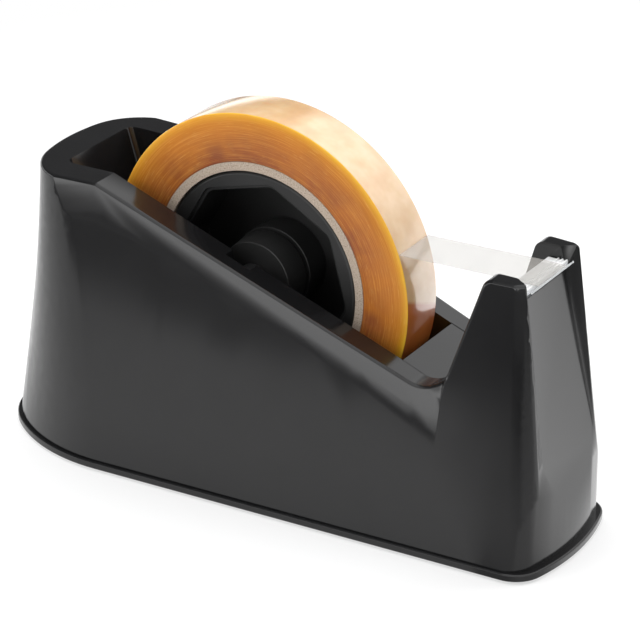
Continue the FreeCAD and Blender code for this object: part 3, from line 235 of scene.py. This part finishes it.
def wound_tape_edges(tint):
    """The cut edges of wound polypropylene tape: amber and a little see-through, in fine rings."""
    made, tree, shader = new_material(
        "wound_tape_edges",
        IOR=1.46,
        Roughness=0.42,
        Specular_IOR_Level=0.35,
        Subsurface_Weight=0.2,
        Subsurface_Radius=(1.0, 0.4, 0.08),
        Subsurface_Scale=4 * MM,
    )
    centred = from_the_axle(tree)
    distance, direction = round_the_axle(tree, centred)
    share = stretch(tree, distance, CORE_RADIUS, ROLL_RADIUS)
    base = ramp(
        tree,
        share,
        (0.0, "84402c"),
        (0.25, "9c552c"),
        (0.6, "b0682a"),
        (0.82, "c07a22"),
        (0.92, "d69c22"),
        (1.0, "ecc03c"),
    )
    cloud = noise(tree, centred, 16 * MM, 2)
    warm = mix(tree, spread(tree, cloud, 0, 0.45), base, linear("cf7f22"))
    # each ring is a few turns of 0.05 mm film, drawn 0.35 mm wide so that it shows
    streak = noise(tree, along_rings(tree, distance, direction, 0.35 * MM, 2.2), 0.7, 3)
    lined = mix(tree, spread(tree, streak, -0.3, 0.55), warm, linear("dc9a48"))
    # painted shade: purple-brown patches near the core
    patches = spread(tree, noise(tree, centred, 11 * MM, 3), -0.5, 1)
    near_core = ramp(tree, share, (0.0, "d0d0d0"), (0.8, "000000"))
    shade = calculate(tree, "MULTIPLY", patches, near_core, use_clamp=True)
    shaded = mix(tree, shade, lined, linear("733a33"))
    # painted glints: short light flecks along the rings, as where turns stand proud and catch the light
    dashes = noise(tree, along_rings(tree, distance, direction, 0.45 * MM, 9), 0.8, 1)
    painted_glints = ramp(tree, spread(tree, dashes), (0.86, "000000"), (1.0, "6a6a6a"))
    colour_with(tree, shader, tinted(tree, mix(tree, painted_glints, shaded, linear("f2c878")), tint))
    bump(tree, shader, streak, 0.01 * MM, 0.5)
    return made


def top_turn_of_tape(tint):
    """The face of the outermost turn: clear film over its adhesive, glossy, amber from the turns under it,
    with a painted sheen over its top and rear.
    """
    made, tree, shader = new_material(
        "top_turn_of_tape",
        IOR=1.5,
        Roughness=0.3,
        Coat_Weight=1.0,
        Coat_Roughness=0.1,
        Coat_IOR=2.0,
        Subsurface_Weight=0.2,
        Subsurface_Radius=(1.0, 0.5, 0.15),
        Subsurface_Scale=3 * MM,
    )
    centred = from_the_axle(tree)
    cloud = spread(tree, noise(tree, centred, 13 * MM, 3))
    # painted reflection: a pale cream sheen is painted on the top turn from the front at the axle's height,
    # over the top to the rear, and fades out under the rear; the lower front quarter keeps the plain, darker
    # amber
    painted_sheen = ramp(tree, cloud, (0.0, "c69c6c"), (0.5, "cfab80"), (1.0, "dabd98"))
    amber_without_sheen = ramp(tree, cloud, (0.0, "ac5c2a"), (1.0, "c07034"))
    # the turn round the axle runs from 0 at the rear, under it, to 0.5 at the front and over the top to 1
    axes = separate(tree, centred)
    turn = calculate(tree, "ARCTAN2", axes["Z"], axes["X"])
    askew = calculate(tree, "MULTIPLY_ADD", axes["Y"], SHEEN_EDGE_SLANT, turn)
    sheen_mask = ramp(
        tree,
        stretch(tree, askew, -math.pi, math.pi),
        (0.0, "ffffff"),
        (0.25, "000000"),
        (SHEEN_EDGE, "000000"),
        (SHEEN_EDGE + SHEEN_EDGE_WIDTH, "ffffff"),
    )
    # the painted sheen is mixed over the plain amber where the mask is white
    colour_with(tree, shader, tinted(tree, mix(tree, sheen_mask, amber_without_sheen, painted_sheen), tint))
    # the film lies in slow waves where air is caught under it
    bump(tree, shader, noise(tree, centred, 9 * MM, 1), 0.05 * MM, 0.5)
    return made


def wound_board():
    """Spiral-wound grey board, cut square: dull, fibrous and speckled."""
    made, tree, shader = new_material("wound_grey_board", IOR=1.45, Roughness=0.85, Specular_IOR_Level=0.3)
    fleck = noise(tree, place(tree), 0.5 * MM, 3)
    base = ramp(tree, spread(tree, fleck), (0.0, "85766a"), (0.3, "ab9b8c"), (1.0, "c4b5a5"))
    colour_with(tree, shader, base)
    bump(tree, shader, fleck, 0.08 * MM, 0.8)
    return made


def clear_film(tint):
    """Clear polypropylene film: thin, glossy, with a trace of amber from its adhesive."""
    made, tree, shader = new_material("clear_polypropylene_film", IOR=1.5, Roughness=0.08, Alpha=0.3)
    waves = noise(tree, place(tree), 7 * MM, 2)
    faint = ramp(tree, spread(tree, waves), (0.0, "aaa7a2"), (1.0, "b4b1ac"))
    colour_with(tree, shader, tinted(tree, faint, tint))
    bump(tree, shader, waves, 0.03 * MM, 0.4)
    return made


def steel(name, colour, darker, roughness, grain=(0.2, 4.0, 0.2), metallic=1.0):
    """Steel with drawn or ground lines. The grain is in millimetres. Pale plating makes it less metallic."""
    made, tree, shader = new_material(name, Metallic=metallic)
    scale = [("Vector", place(tree)), ("Scale", [1 / (size * MM) for size in grain])]
    here = add(tree, "ShaderNodeMapping", scale).outputs["Vector"]
    lines = noise(tree, here, 1.0, 3)
    colour_with(tree, shader, ramp(tree, spread(tree, lines), (0.0, darker), (1.0, colour)))
    tree.links.new(spread(tree, lines, roughness + 0.06, roughness - 0.04), shader.inputs["Roughness"])
    bump(tree, shader, lines, 0.004 * MM, 0.5)
    return made


def cast_iron():
    """Sand-cast iron, unpainted inside the housing: dark, dull and pitted."""
    made, tree, shader = new_material("sand_cast_iron", Metallic=0.6)
    pits = noise(tree, place(tree), 0.9 * MM, 4)
    colour_with(tree, shader, ramp(tree, spread(tree, pits), (0.0, "2b2927"), (1.0, "4c4946")))
    tree.links.new(spread(tree, pits, 0.75, 0.5), shader.inputs["Roughness"])
    bump(tree, shader, pits, 0.15 * MM, 0.8)
    return made


def cell_foam():
    """Closed-cell foam rubber sheet: matt dark grey with fine open cells on its cut face."""
    made, tree, shader = new_material("closed_cell_foam", IOR=1.45, Roughness=0.9)
    cells = add(
        tree, "ShaderNodeTexVoronoi", [("Vector", place(tree)), ("Scale", 1 / (0.8 * MM))]
    ).outputs["Distance"]
    colour_with(tree, shader, ramp(tree, cells, (0.0, "1d1d1e"), (0.5, "333334")))
    bump(tree, shader, cells, 0.1 * MM, 0.7)
    return made


# ---------------------------------------------------------------- modelling helpers

WELD = 0.001 * MM  # points of a CAD mesh nearer than this are one
FLAT_ANGLE = 0.2  # degrees: faces that turn less than this are joined
SHARP_ANGLE = 35  # degrees: edges sharper than this are broken and stay crisp
RING_SHARP_ANGLE = 40  # degrees, on the turned rings
END_NORMAL = 0.9  # the least share of a normal along the axle on a ring's end faces
SIDE_NORMAL = 0.5  # the greatest share of it on a ring's round faces
STRIP_EDGE = 0.12 * MM  # how far the clamp strip's edges are broken


def select_only(obj):
    """Leaves obj alone selected and active."""
    bpy.ops.object.select_all(action="DESELECT")
    obj.select_set(True)
    bpy.context.view_layer.objects.active = obj


def pick(obj, kind, test):
    """Selects the faces or edges that pass a test, and nothing else."""
    bpy.ops.mesh.select_mode(type={"edges": "EDGE", "faces": "FACE"}[kind])
    bpy.ops.mesh.select_all(action="DESELECT")
    mesh = bmesh.from_edit_mesh(obj.data)
    mesh.normal_update()
    for item in getattr(mesh, kind):
        if test(item):
            item.select_set(True)
    mesh.select_flush_mode()
    bmesh.update_edit_mesh(obj.data)


def settle(obj, name):
    """Names a piece and puts its place, turn and size into its mesh."""
    obj.name = name
    obj.data.name = name
    select_only(obj)
    bpy.ops.object.transform_apply(location=True, rotation=True, scale=True)


def smooth(obj, degrees):
    """Smooth shading, with edges sharper than this left crisp."""
    select_only(obj)
    bpy.ops.object.shade_smooth_by_angle(angle=math.radians(degrees))


def modifier(obj, kind, **settings):
    """Adds a modifier and applies it."""
    select_only(obj)
    made = obj.modifiers.new(kind.lower(), kind)
    for name, value in settings.items():
        setattr(made, name, value)
    bpy.ops.object.modifier_apply(modifier=made.name)


def paint(piece, material):
    """Gives a piece one material."""
    piece.data.materials.clear()
    piece.data.materials.append(material)


def stand_for(piece, node, body):
    """Lets a piece ride on a body, in the place of a CAD node."""
    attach(piece, body)
    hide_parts(node)


def finished_copy(node, name, material, body, edge):
    """Makes a merged copy of a CAD node with broken edges, which stands for it."""
    source = NODES[node]
    piece = source.copy()
    piece.data = source.data.copy()
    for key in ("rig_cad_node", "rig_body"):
        del piece[key]
    piece.parent = None
    bpy.context.scene.collection.objects.link(piece)
    settle(piece, name)
    bpy.ops.object.mode_set(mode="EDIT")
    bpy.ops.mesh.select_all(action="SELECT")
    bpy.ops.mesh.remove_doubles(threshold=WELD)
    bpy.ops.mesh.dissolve_limited(angle_limit=math.radians(FLAT_ANGLE))
    bpy.ops.object.mode_set(mode="OBJECT")
    if edge:
        modifier(
            piece,
            "BEVEL",
            width=edge,
            segments=2,
            limit_method="ANGLE",
            angle_limit=math.radians(SHARP_ANGLE),
            use_clamp_overlap=False,
            miter_outer="MITER_ARC",
        )
    smooth(piece, SHARP_ANGLE)
    modifier(piece, "WEIGHTED_NORMAL", keep_sharp=True, weight=50)
    paint(piece, material)
    stand_for(piece, node, body)


def at_an_end(face):
    """True for the flat faces at the ends of a ring round the axle."""
    return abs(face.normal.y) > END_NORMAL


def turned_ring(name, outer, inner, low, high, sides):
    """A ring round the axle, from y low to high, made from a cylinder opened at both ends."""
    bpy.ops.object.select_all(action="DESELECT")
    bpy.ops.mesh.primitive_cylinder_add(
        vertices=sides,
        radius=outer,
        depth=high - low,
        location=(AXLE.x, (low + high) / 2, AXLE.z),
        rotation=(math.pi / 2, 0, 0),
    )
    ring = bpy.context.object
    settle(ring, name)
    bpy.ops.object.mode_set(mode="EDIT")
    pick(ring, "faces", at_an_end)
    bpy.ops.mesh.inset(thickness=outer - inner, use_individual=True)
    bpy.ops.mesh.bridge_edge_loops()
    bpy.ops.object.mode_set(mode="OBJECT")
    return ring


# ---------------------------------------------------------------- sizes and colours that can be set


def swatch(name, description, colour):
    """A colour that can be set, with its default given as an sRGB hex value."""
    return FloatVectorProperty(
        name=name, description=description, default=linear(colour), size=4, min=0, max=1, subtype="COLOR"
    )


class DISPENSER_PG_housing(bpy.types.PropertyGroup):
    """The housing and the other moulded pieces.

    Each plastic has its colour and the lighter colour of its mottle.
    """

    housing: swatch("Housing", "Colour of the housing and the bridge", "141415")
    housing_mottle: swatch("Housing Mottle", "Lighter colour in the housing's mottle", "171718")
    base: swatch("Base", "Colour of the base plate", "131314")
    base_mottle: swatch("Base Mottle", "Lighter colour in the base plate's mottle", "161617")
    drum: swatch("Drum", "Colour of the drum, its boss and its cap", "1e1e1e")
    drum_mottle: swatch("Drum Mottle", "Lighter colour in the drum's mottle", "232323")
    spacer: swatch("Spacers", "Colour of the axle's spacers", "1a1a1b")
    spacer_mottle: swatch("Spacer Mottle", "Lighter colour in the spacers' mottle", "1f1f20")
    edge: FloatProperty(
        name="Edge", description="How far a moulded edge is broken", default=0.25 * MM, min=0, unit="LENGTH"
    )
    grain: FloatProperty(
        name="Grain", description="Size of the etched grain", default=0.35 * MM, min=0.05 * MM, unit="LENGTH"
    )


class DISPENSER_PG_roll(bpy.types.PropertyGroup):
    """The wound roll and its core."""

    sides: IntProperty(name="Sides", description="Sides of the roll's circle", default=192, min=24)
    rim: FloatProperty(
        name="Rim", description="How far the roll's rim is rounded", default=0.4 * MM, min=0, unit="LENGTH"
    )
    tint: swatch("Tint", "Colour that multiplies the ambers of the roll and the film", "ffffff")


class DISPENSER_PG_stage(bpy.types.PropertyGroup):
    """The camera."""

    lens: FloatProperty(
        name="Lens", description="Focal length in millimetres", default=168.75, min=10, unit="CAMERA"
    )
    azimuth: FloatProperty(
        name="Azimuth", description="Direction of view", default=math.radians(31.657), subtype="ANGLE"
    )
    elevation: FloatProperty(
        name="Elevation", description="Height of view", default=math.radians(25.518), subtype="ANGLE"
    )
    place: FloatVectorProperty(
        name="Place",
        description="Where the camera stands",
        default=(0.49336, -0.78245, 0.49942),
        subtype="TRANSLATION",
    )


# ---------------------------------------------------------------- pieces


class DISPENSER_OT_housing(bpy.types.Operator):
    """Finishes the moulded housing"""

    bl_idname = "dispenser.housing"
    bl_label = "Housing"

    def execute(self, context):
        look = context.scene.dispenser_housing
        black = etched_abs("etched_black_abs", look.housing, look.housing_mottle, look.grain, 0.15)
        finished_copy("body_shell", "housing", black, "dispenser", 0)
        return {"FINISHED"}


class DISPENSER_OT_base(bpy.types.Operator):
    """Finishes the base plate and gives the foam pad, the iron and the screws their materials"""

    bl_idname = "dispenser.base"
    bl_label = "Base"

    def execute(self, context):
        look = context.scene.dispenser_housing
        black = etched_abs("base_black_abs", look.base, look.base_mottle, look.grain, 0.18)
        finished_copy("base_plate", "base_plate_finished", black, "dispenser", look.edge)
        zinc = steel("zinc_plated_steel", "c9ccd0", "9a9ea3", 0.3)
        iron = cast_iron()
        for node, material in (
            ("nonslip_pad", cell_foam()),
            ("ballast_plate", iron),
            ("ballast_block", iron),
            ("base_screws", zinc),
            ("ballast_screws", zinc),
            ("bridge_screws", zinc),
        ):
            paint(NODES[node], material)
        return {"FINISHED"}


class DISPENSER_OT_roll(bpy.types.Operator):
    """Builds the wound roll of tape"""

    bl_idname = "dispenser.roll"
    bl_label = "Roll"

    def execute(self, context):
        look = context.scene.dispenser_roll
        roll = turned_ring("amber_roll", ROLL_RADIUS, CORE_RADIUS, ROLL_LOW.y, ROLL_HIGH.y, look.sides)
        for material in (wound_tape_edges(look.tint), top_turn_of_tape(look.tint)):
            roll.data.materials.append(material)
        bpy.ops.object.mode_set(mode="EDIT")
        pick(roll, "edges", lambda edge: len({at_an_end(face) for face in edge.link_faces}) == 2)
        bpy.ops.mesh.bevel(offset=look.rim, segments=3)
        pick(roll, "faces", lambda face: abs(face.normal.y) < SIDE_NORMAL)
        roll.active_material_index = 1  # the top turn
        bpy.ops.object.material_slot_assign()
        bpy.ops.object.mode_set(mode="OBJECT")
        smooth(roll, RING_SHARP_ANGLE)
        stand_for(roll, "tape_roll", "reel")
        return {"FINISHED"}


class DISPENSER_OT_core(bpy.types.Operator):
    """Builds the board core of the roll"""

    bl_idname = "dispenser.core"
    bl_label = "Core"

    def execute(self, context):
        look = context.scene.dispenser_roll
        core = turned_ring(
            "board_core", CORE_RADIUS, CORE_RADIUS - CORE_WALL, CORE_LOW.y, CORE_HIGH.y, look.sides
        )
        smooth(core, RING_SHARP_ANGLE)
        paint(core, wound_board())
        stand_for(core, "tape_core", "reel")
        return {"FINISHED"}


class DISPENSER_OT_reel(bpy.types.Operator):
    """Finishes the drum, its small-core boss and the boss's cap"""

    bl_idname = "dispenser.reel"
    bl_label = "Reel"

    def execute(self, context):
        look = context.scene.dispenser_housing
        dark = etched_abs("drum_black_abs", look.drum, look.drum_mottle, look.grain, 0.4)
        for node, name in (
            ("reel_drum", "drum"),
            ("small_core_boss", "core_boss"),
            ("boss_cap", "boss_end_cap"),
        ):
            finished_copy(node, name, dark, "reel", look.edge)
        return {"FINISHED"}


class DISPENSER_OT_axle(bpy.types.Operator):
    """Finishes the axle rod and its spacers"""

    bl_idname = "dispenser.axle"
    bl_label = "Axle"

    def execute(self, context):
        look = context.scene.dispenser_housing
        rod = steel("drawn_axle_steel", "a5a7aa", "7d7f83", 0.28, (0.3, 6.0, 0.3))
        finished_copy("axle_rod", "axle", rod, "axle_carrier", look.edge)
        dark = etched_abs("spacer_black_abs", look.spacer, look.spacer_mottle, look.grain, 0.3)
        finished_copy("axle_spacers", "axle_collars", dark, "axle_carrier", look.edge)
        return {"FINISHED"}


class DISPENSER_OT_blade(bpy.types.Operator):
    """Finishes the blade, its bridge and its holder"""

    bl_idname = "dispenser.blade"
    bl_label = "Blade"

    def execute(self, context):
        look = context.scene.dispenser_housing
        black = bpy.data.materials["etched_black_abs"]
        finished_copy("blade_bridge", "bridge", black, "dispenser", look.edge)
        bright = steel("ground_blade_steel", "eceeef", "cdd0d3", 0.24, (4.0, 0.2, 0.2), 0.6)
        polished = steel("polished_strip_steel", "fbfbfb", "e6e7e8", 0.3, (4.0, 0.3, 0.3), 0.3)
        finished_copy("blade_holder", "holder", polished, "dispenser", STRIP_EDGE)
        finished_copy("serrated_blade", "blade", bright, "dispenser", 0)
        return {"FINISHED"}


class DISPENSER_OT_film(bpy.types.Operator):
    """Builds the free run of film from the roll to the blade"""

    bl_idname = "dispenser.film"
    bl_label = "Film"

    def execute(self, context):
        look = context.scene.dispenser_roll
        finished_copy("tape_film", "free_film", clear_film(look.tint), "axle_carrier", 0)
        return {"FINISHED"}


class DISPENSER_OT_stage(bpy.types.Operator):
    """Sets the floor, the light and the camera"""

    bl_idname = "dispenser.stage"
    bl_label = "Stage"

    def execute(self, context):
        look = context.scene.dispenser_stage
        scene = context.scene
        bpy.ops.object.select_all(action="DESELECT")
        bpy.ops.mesh.primitive_plane_add(size=PAPER_SIDE, location=PAPER_MIDDLE)
        floor = context.object
        floor.name = "floor"
        floor.data.materials.append(floor_paint())
        scene.world = studio_room()
        hang_lamps(scene)
        camera = bpy.data.objects.new("camera", bpy.data.cameras.new("camera"))
        scene.collection.objects.link(camera)
        camera.data.lens = look.lens
        camera.data.sensor_width = SENSOR_WIDTH
        camera.data.clip_start, camera.data.clip_end = CLIP
        camera.location = look.place
        ahead = Vector((
            -math.sin(look.azimuth) * math.cos(look.elevation),
            math.cos(look.azimuth) * math.cos(look.elevation),
            -math.sin(look.elevation),
        ))
        camera.rotation_mode = "QUATERNION"
        camera.rotation_quaternion = ahead.to_track_quat("-Z", "Y")
        scene.camera = camera
        scene.view_settings.view_transform = "Standard"
        return {"FINISHED"}


# ---------------------------------------------------------------- stage

SENSOR_WIDTH = 36  # millimetres, as the lens; the rest is in metres
CLIP = (0.05, 20)
PAPER_SIDE = 0.9
PAPER_MIDDLE = (0, 0.1, 0)
PAPER_PIVOT = (0.095, -0.12)  # the point the painted mirrored tones turn round, X and Y from the paper's middle
PAPER_GLOW = 3.0  # how bright the paper's painted glow is in mirrors
SHADOW_FADE = (0.2, 0.42)  # how far from the paper's middle its shadow begins and ends to fade
SHADOW_SHARE = 0.6  # how much of the paper is drawn white where its shadow shows most
ROOM_DULL = 0.6  # how bright the room is to matt things
ROOM_GLOSSY = 4.0  # and in mirrors
LAMPS = (  # name, place, width and depth, power in watts
    ("lamp_above", (-0.15, 0.1, 0.9), (0.8, 0.6), 7.5),
    ("lamp_behind_right", (0.55, 0.75, 0.55), (0.7, 0.5), 6.0),
    ("lamp_front_left", (-0.5, -0.8, 0.7), (0.6, 0.6), 4.5),
)
LAMP_TARGET = (0, 0, 0.05)


def painted_paper_glow(tree, here):
    """How bright the paper is painted to look in mirrors, from place to place: painted light and painted
    shadow.
    """
    axes = separate(tree, here)
    aside = calculate(tree, "SUBTRACT", axes["X"], PAPER_PIVOT[0])
    ahead = calculate(tree, "SUBTRACT", axes["Y"], PAPER_PIVOT[1])
    # painted glow: dark towards -Y, bright between +X and +Y, where a lamp is
    painted_glow_around = ramp(
        tree,
        stretch(tree, calculate(tree, "ARCTAN2", ahead, aside), -math.pi, math.pi),
        (0.166, "959595"),
        (0.2, "3c3c3c"),
        (0.33, "3c3c3c"),
        (0.38, "737373"),
        (0.505, "737373"),
        (0.6, "c8c8c8"),
        (0.75, "c8c8c8"),
        (0.85, "959595"),
    )
    # a painted shadow of a flag across the -Y part; no flag is modelled
    painted_flag_shadow = ramp(
        tree,
        stretch(tree, axes["Y"], -0.5, 0.0),
        (0.1, "dddddd"),
        (0.26, "808080"),
        (0.36, "808080"),
        (0.44, "ffffff"),
    )
    return mix(tree, 1.0, painted_glow_around, painted_flag_shadow, "MULTIPLY")


def floor_paint():
    """Matt white sweep paper. It shows as white, keeps a soft shadow, glows with painted light and shadow in
    mirrors, and is clear from below.
    """
    made, tree, shader = new_material("white_sweep_paper", Roughness=0.9, Specular_IOR_Level=0.1)
    shader.inputs["Base Color"].default_value = linear("f2f2f2")
    here = place(tree)
    path = add(tree, "ShaderNodeLightPath").outputs
    painted_glow = add(tree, "ShaderNodeEmission", [("Color", painted_paper_glow(tree, here)), ("Strength", PAPER_GLOW)])
    white = add(tree, "ShaderNodeEmission", [("Strength", 1.0)])
    drawn = mix_shaders(tree, path["Is Camera Ray"], painted_glow, white)
    # only the rays that show the paper itself see it drawn, the others meet plain paper
    direct = calculate(tree, "MAXIMUM", path["Is Camera Ray"], path["Is Glossy Ray"])
    direct = calculate(tree, "MAXIMUM", direct, path["Is Transmission Ray"])
    keep = stretch(tree, combine(tree, "LENGTH", here), *SHADOW_FADE, SHADOW_SHARE, 1.0)
    paper = mix_shaders(tree, calculate(tree, "MULTIPLY", direct, keep), shader, drawn)
    clear = add(tree, "ShaderNodeBsdfTransparent")
    both = mix_shaders(tree, add(tree, "ShaderNodeNewGeometry").outputs["Backfacing"], paper, clear)
    tree.links.new(both.outputs[0], tree.nodes["Material Output"].inputs["Surface"])
    return made


def room_tones(tree):
    """How bright the room is in mirrors, from direction to direction."""
    heading = separate(tree, add(tree, "ShaderNodeTexCoord").outputs["Generated"])
    up = heading["Z"]
    # dark past the paper's edge, then a bright low band, then an even pale wall and ceiling
    band = ramp(
        tree,
        stretch(tree, up, -0.5, 0.5),
        (0.30, "4a4a4a"),
        (0.38, "7c7c7c"),
        (0.46, "f0f0f0"),
        (0.53, "f0f0f0"),
        (0.62, "a0a0a0"),
        (0.8, "848484"),
        (1.0, "a4a4a4"),
    )
    # above the band, a dark flag hangs towards -X
    flag = ramp(tree, stretch(tree, heading["X"], -0.6, 0.0), (0.35, "545454"), (0.7, "ffffff"))
    flagged = mix(tree, stretch(tree, up, 0.08, 0.2), band, flag, "MULTIPLY")
    # the band is brightest towards -Y
    front = ramp(tree, stretch(tree, heading["Y"], -0.6, 0.2), (0.0, "ffffff"), (1.0, "b0b0b0"))
    return mix(tree, stretch(tree, up, 0.3, 0.1), flagged, front, "MULTIPLY")


def studio_room():
    """A pale studio room, which shows as plain white."""
    world = bpy.data.worlds.new("studio")
    world.use_nodes = True
    tree = world.node_tree
    tree.nodes.clear()
    path = add(tree, "ShaderNodeLightPath").outputs
    dull = add(tree, "ShaderNodeBackground", [("Color", linear("ffffff")), ("Strength", ROOM_DULL)])
    glossy = add(tree, "ShaderNodeBackground", [("Color", room_tones(tree)), ("Strength", ROOM_GLOSSY)])
    white = add(tree, "ShaderNodeBackground", [("Color", linear("ffffff")), ("Strength", 1.0)])
    mirrored = mix_shaders(tree, path["Is Glossy Ray"], dull, glossy)
    clear = calculate(tree, "MAXIMUM", path["Is Camera Ray"], path["Is Transmission Ray"])
    shown = mix_shaders(tree, clear, mirrored, white)
    out = add(tree, "ShaderNodeOutputWorld")
    tree.links.new(shown.outputs[0], out.inputs["Surface"])
    return world


def hang_lamps(scene):
    """Soft lamps above, behind to the right, and in front to the left."""
    for name, where, size, power in LAMPS:
        lamp = bpy.data.objects.new(name, bpy.data.lights.new(name, "AREA"))
        scene.collection.objects.link(lamp)
        lamp.data.shape = "RECTANGLE"
        lamp.data.size, lamp.data.size_y = size
        lamp.data.energy = power
        lamp.location = where
        lamp.rotation_mode = "QUATERNION"
        lamp.rotation_quaternion = (Vector(LAMP_TARGET) - Vector(where)).to_track_quat("-Z", "Y")
        lamp.visible_camera = False
        lamp.visible_glossy = False


# ---------------------------------------------------------------- panel and registration


class DISPENSER_PT_panel(bpy.types.Panel):
    """Lists the pieces in the 3D view's sidebar"""

    bl_idname = "DISPENSER_PT_panel"
    bl_label = "Tape Dispenser"
    bl_space_type = "VIEW_3D"
    bl_region_type = "UI"
    bl_category = "Dispenser"

    def draw(self, context):
        for name, _ in GROUPS:
            group = getattr(context.scene, name)
            box = self.layout.box()
            for setting in group.__annotations__:
                box.prop(group, setting)
        for piece in PIECES:
            self.layout.operator(piece.bl_idname)


GROUPS = (
    ("dispenser_housing", DISPENSER_PG_housing),
    ("dispenser_roll", DISPENSER_PG_roll),
    ("dispenser_stage", DISPENSER_PG_stage),
)
PIECES = (
    DISPENSER_OT_housing,
    DISPENSER_OT_base,
    DISPENSER_OT_roll,
    DISPENSER_OT_core,
    DISPENSER_OT_reel,
    DISPENSER_OT_axle,
    DISPENSER_OT_blade,
    DISPENSER_OT_film,
    DISPENSER_OT_stage,
)


def register():
    for name, group in GROUPS:
        bpy.utils.register_class(group)
        setattr(bpy.types.Scene, name, PointerProperty(type=group))
    for item in (*PIECES, DISPENSER_PT_panel):
        bpy.utils.register_class(item)


def unregister():
    for item in (DISPENSER_PT_panel, *reversed(PIECES)):
        bpy.utils.unregister_class(item)
    for name, group in reversed(GROUPS):
        delattr(bpy.types.Scene, name)
        bpy.utils.unregister_class(group)


def main():
    register()
    for piece in PIECES:
        module, name = piece.bl_idname.split(".")
        getattr(getattr(bpy.ops, module), name)()


if __name__ == "__main__":
    main()
